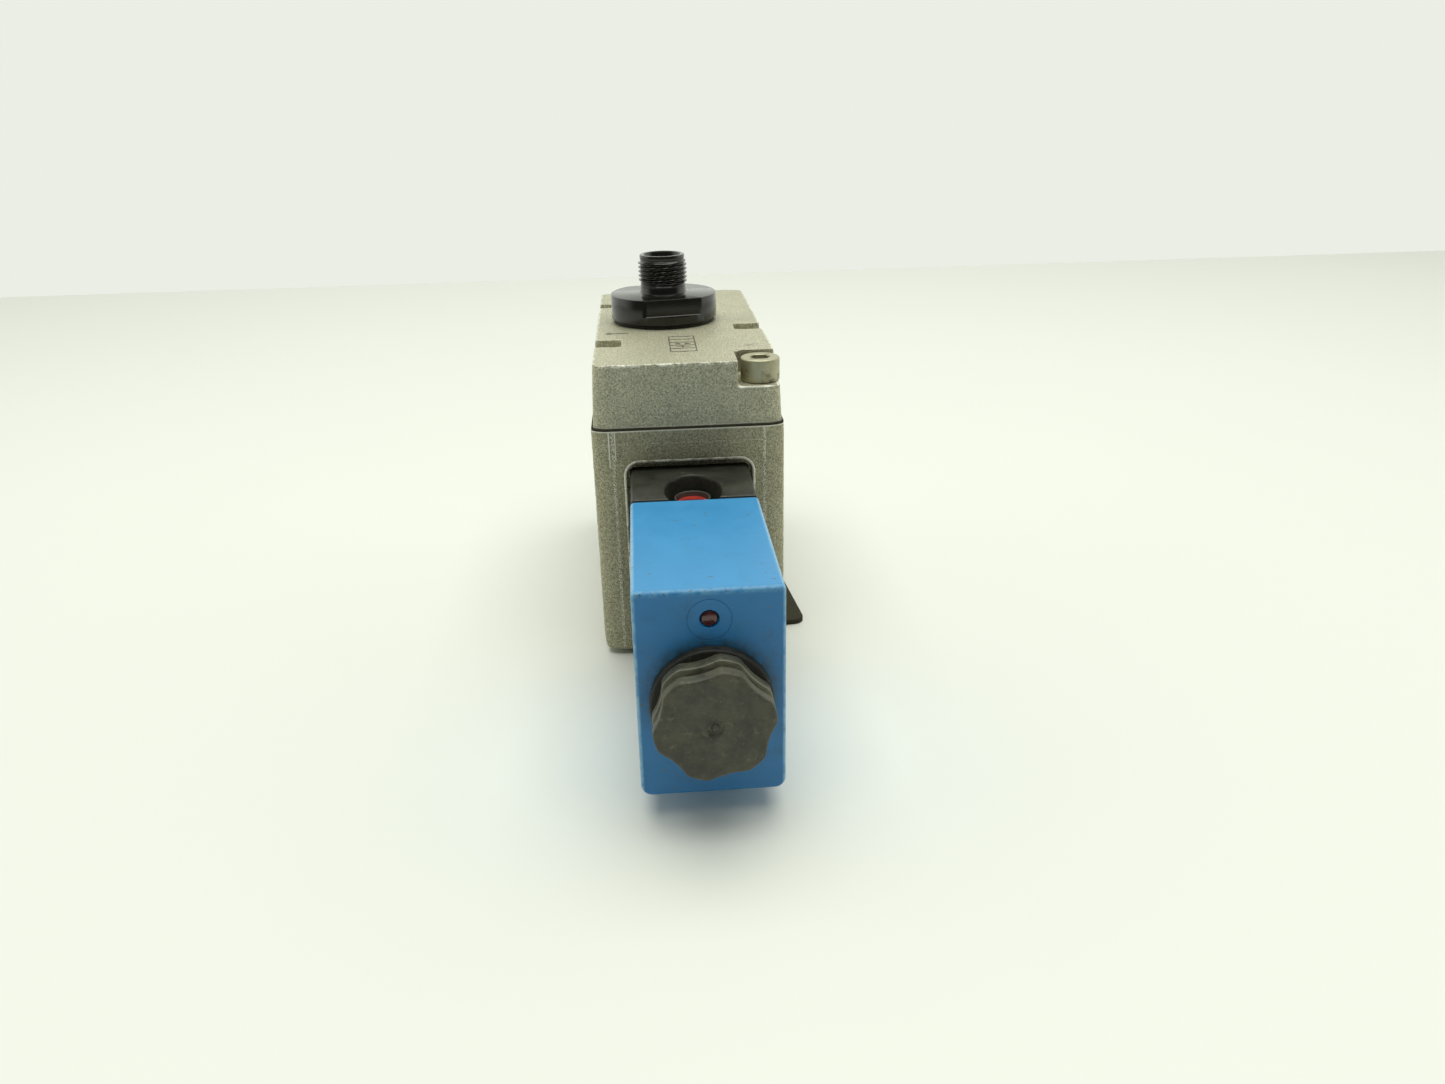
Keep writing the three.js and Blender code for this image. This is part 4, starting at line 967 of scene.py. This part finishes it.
def make_nut_group():
    seat(make_nut(), "hand_nut", "grey_plastic", nut_grey, "coil_nut")
    radius, bore, edge = (ring_high.x - ring_low.x) / 2, 4.8 * MM, 0.45 * MM
    front, back = ring_low.y, ring_high.y
    profile = [(bore, back), (radius - 0.2 * MM, back), (radius, back - 0.2 * MM)]
    profile += [(radius, front + 0.5 * MM)]
    profile += arc(radius - edge, front + edge, edge, 0, -90, 5)
    profile += [(bore, front)]
    piece = turned("nut_seal_ring", profile, nut_axis, level, 96, closed=True)
    seat(shade(piece, 40), "valve", "rubber", seal_rubber, "nut_seal")


# ---- Receptacle ----

def make_receptacle():
    """Flange with two wrench flats, neck and a true M12 x 1 helical thread, hollow inside."""
    sides, steps = 180, 70
    bottom, rim = seal_high.z, plug_high.z
    top = bottom + 6.04 * MM
    flat, flat_turn = 11 * MM, math.radians(9.5)
    flange, chamfer, hub, socket = 13 * MM, 0.25 * MM, 7.4 * MM, 4.27 * MM
    pitch, crest, root = MM, 5.96 * MM, 5.38 * MM
    thread_low = top + 2.2 * MM
    thread_high = rim - 1.1 * MM

    def ring(z, radius, flat_at=None):
        def radius_at(angle):
            if flat_at is None:
                return radius
            return min(radius, flat_at / max(abs(math.sin(angle - flat_turn)), 0.2))

        return upright(polar(radius_at, plug_axis, sides), z)

    def thread_ring(z):
        fade = min((z - thread_low) / (0.5 * MM), (thread_high - z) / (0.7 * MM), 1.0)

        def radius_at(angle):
            turn = ((z - thread_low) / pitch - angle / TAU) % 1.0
            tooth = min(max(1.25 - 3.0 * abs(turn - 0.5), 0.0), 1.0)
            return root + (crest - root) * tooth * max(fade, 0.0)

        return upright(polar(radius_at, plug_axis, sides), z)

    rings = [
        ring(plug_low.z, 7.0 * MM), ring(plug_low.z + 0.4 * MM, hub), ring(bottom, hub),
        ring(bottom, flange - chamfer), ring(bottom + chamfer, flange), ring(bottom + 2.0 * MM, flange),
        ring(bottom + 2.02 * MM, flange, flat + 0.15 * MM), ring(bottom + 2.15 * MM, flange, flat),
        ring(top - 0.3 * MM, flange, flat), ring(top - 0.1 * MM, flange - 0.08 * MM, flat - 0.05 * MM),
        ring(top, flange - 0.3 * MM, flat - 0.25 * MM), ring(top, 6.2 * MM),
        ring(top + 0.15 * MM, 5.75 * MM), ring(top + 0.4 * MM, 5.6 * MM),
        ring(thread_low - 0.3 * MM, 5.55 * MM), ring(thread_low - 0.05 * MM, root),
    ]
    rings += [thread_ring(thread_low + (thread_high - thread_low) * k / steps) for k in range(steps + 1)]
    rings += [
        ring(thread_high + 0.1 * MM, 5.46 * MM), ring(rim - 0.35 * MM, 5.5 * MM),
        ring(rim - 0.1 * MM, 5.42 * MM), ring(rim, 5.2 * MM), ring(rim, 4.75 * MM),
        ring(rim - 0.1 * MM, 4.5 * MM), ring(rim - 0.5 * MM, socket),
        ring(top - 4.0 * MM, socket), ring(top - 4.0 * MM, 5.0 * MM), ring(plug_low.z, 5.0 * MM),
    ]
    return shade(stack("receptacle_shell", rings, closed=True), 32)


def make_receptacle_seal():
    outer, bore = (seal_high.x - seal_low.x) / 2, 7.6 * MM
    low, high = seal_low.z, seal_high.z
    half = (high - low) / 2
    profile = [(bore, low), (outer - half, low)]
    profile += arc(outer - half, (low + high) / 2, half, -80, 80, 6)
    profile += [(outer - half, high), (bore, high)]
    return turned("receptacle_seal_ring", profile, plug_axis, upright, 96, closed=True)


def make_contact_carrier(pins):
    """The insert with a hole for each pin and a key slot."""
    low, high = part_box("contact_insert")
    radius, edge = 4.15 * MM, 0.3 * MM
    profile = [(radius, low.z), (radius, high.z - edge), (radius - edge, high.z)]
    insert = turned("contact_carrier", profile, plug_axis, upright, 64)
    hole = [(0.56 * MM, low.z - MM), (0.56 * MM, high.z - 0.2 * MM), (0.95 * MM, high.z + 0.2 * MM)]
    tools = [turned("tool", hole, (middle_of(pin).x, middle_of(pin).y), upright, 20) for pin in pins]
    x, y = plug_axis
    key = block(x - 0.6 * MM, x + 0.6 * MM, y + 3.3 * MM, y + 6 * MM, high.z - 2 * MM, high.z + MM)
    return cut(insert, *tools, key)


def make_pin(node):
    low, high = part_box(node)
    radius, dome = 0.5 * MM, high.z - 0.45 * MM
    profile = [(0.0, low.z), (radius * 0.8, low.z), (radius, low.z + 0.15 * MM), (radius, dome)]
    for angle in (0.4, 0.8, 1.2):
        profile.append((radius * math.cos(angle), high.z - 0.45 * MM * (1 - math.sin(angle))))
    profile.append((0.0, high.z))
    return turned(node + "_piece", profile, (middle_of(node).x, middle_of(node).y), upright, 24)


def make_receptacle_group():
    pins = [f"contact_pin_{i}" for i in range(1, 6)]
    seat(make_receptacle(), "valve", "black_plastic", receptacle_black, "receptacle_body")
    seat(shade(make_receptacle_seal(), 50), "valve", "rubber", seal_rubber, "receptacle_seal")
    carrier = shade(make_contact_carrier(pins), 35)
    seat(carrier, "valve", "black_plastic", insert_black, "contact_insert")
    for node in pins:
        seat(shade(make_pin(node), 50), "valve", "brass", turned_brass, node)


# ---- Stage ----

def make_floor():
    side, rear = 1.6, 0.5
    corners = [(-side, -side), (side, -side), (side, rear), (-side, rear)]
    mesh = bpy.data.meshes.new("floor")
    mesh.from_pydata([(x, y, 0.0) for x, y in corners], [], [(0, 1, 2, 3)])
    floor = link_mesh("floor", mesh)
    paint = Paint("floor_white", 0.55, specular=0.3)
    cloud = paint.noise(0.25, 3.0, 0.5)
    colour = paint.mix(cloud, (0.80, 0.815, 0.765), (0.83, 0.845, 0.795))
    mesh.materials.append(paint.finish(colour))


def make_world():
    """Pale all round, dimmer from the side that the coil faces."""
    world = bpy.data.worlds.new("studio")
    bpy.context.scene.world = world
    world.use_nodes = True
    tree = world.node_tree
    tree.nodes.clear()
    add = tree.nodes.new
    link = tree.links.new

    def ramp(value, inputs):
        node = add("ShaderNodeMapRange")
        node.interpolation_type = "SMOOTHSTEP"
        link(value, node.inputs["Value"])
        for key, setting in inputs.items():
            node.inputs[key].default_value = setting
        return node

    coords = add("ShaderNodeTexCoord")
    split = add("ShaderNodeSeparateXYZ")
    link(coords.outputs["Generated"], split.inputs["Vector"])
    walls = ramp(split.outputs["Y"], {"From Min": -0.45, "From Max": 0.15, "To Min": 0.07, "To Max": 1.1})
    sky = ramp(split.outputs["Z"], {"From Min": 0.45, "From Max": 0.75, "To Max": 0.3})
    link(walls.outputs["Result"], sky.inputs["To Min"])
    lit = add("ShaderNodeBackground")
    lit.inputs["Color"].default_value = (0.97, 1.0, 0.92, 1.0)
    link(sky.outputs["Result"], lit.inputs["Strength"])
    seen = add("ShaderNodeBackground")
    seen.inputs["Color"].default_value = (0.835, 0.855, 0.785, 1.0)
    path = add("ShaderNodeLightPath")
    mix = add("ShaderNodeMixShader")
    out = add("ShaderNodeOutputWorld")
    link(path.outputs["Is Camera Ray"], mix.inputs["Fac"])
    link(lit.outputs["Background"], mix.inputs[1])
    link(seen.outputs["Background"], mix.inputs[2])
    link(mix.outputs["Shader"], out.inputs["Surface"])


def area_light(name, place, target, size, power):
    data = bpy.data.lights.new(name, "AREA")
    data.shape = "SQUARE"
    data.size = size
    data.energy = power
    data.color = (0.98, 1.0, 0.93)
    lamp = bpy.data.objects.new(name, data)
    lamp.location = place
    lamp.rotation_mode = "QUATERNION"
    lamp.rotation_quaternion = (Vector(target) - Vector(place)).to_track_quat("-Z", "Y")
    bpy.context.scene.collection.objects.link(lamp)


def make_camera():
    data = bpy.data.cameras.new("camera")
    data.sensor_width = 36.0
    data.lens = 26.88
    data.clip_start = 0.01
    camera = bpy.data.objects.new("camera", data)
    bpy.context.scene.collection.objects.link(camera)
    yaw, pitch, roll = math.radians(4.035), math.radians(22.944), math.radians(-1.207)
    ahead = Vector((math.sin(yaw) * math.cos(pitch), math.cos(yaw) * math.cos(pitch), -math.sin(pitch)))
    across = Vector((math.cos(yaw), -math.sin(yaw), 0.0))
    up = across.cross(ahead)
    right = math.cos(roll) * across + math.sin(roll) * up
    top = math.cos(roll) * up - math.sin(roll) * across
    turn = Matrix((right, top, -ahead)).transposed()
    place = (-8.9 * MM, -266.98 * MM, 121.76 * MM)
    camera.matrix_world = Matrix.Translation(place) @ turn.to_4x4()
    bpy.context.scene.camera = camera


def make_stage():
    make_floor()
    make_world()
    area_light("overhead", place=(0.03, 0.0, 1.0), target=(0, 0, 0.03), size=1.1, power=10.5)
    make_camera()
    bpy.context.scene.view_settings.view_transform = "Standard"


finish_cad_nodes()
make_castings()
make_gaskets()
make_cover_screws()
make_pilot()
make_coil()
make_nut_group()
make_receptacle_group()
make_stage()

bpy.context.view_layer.update()
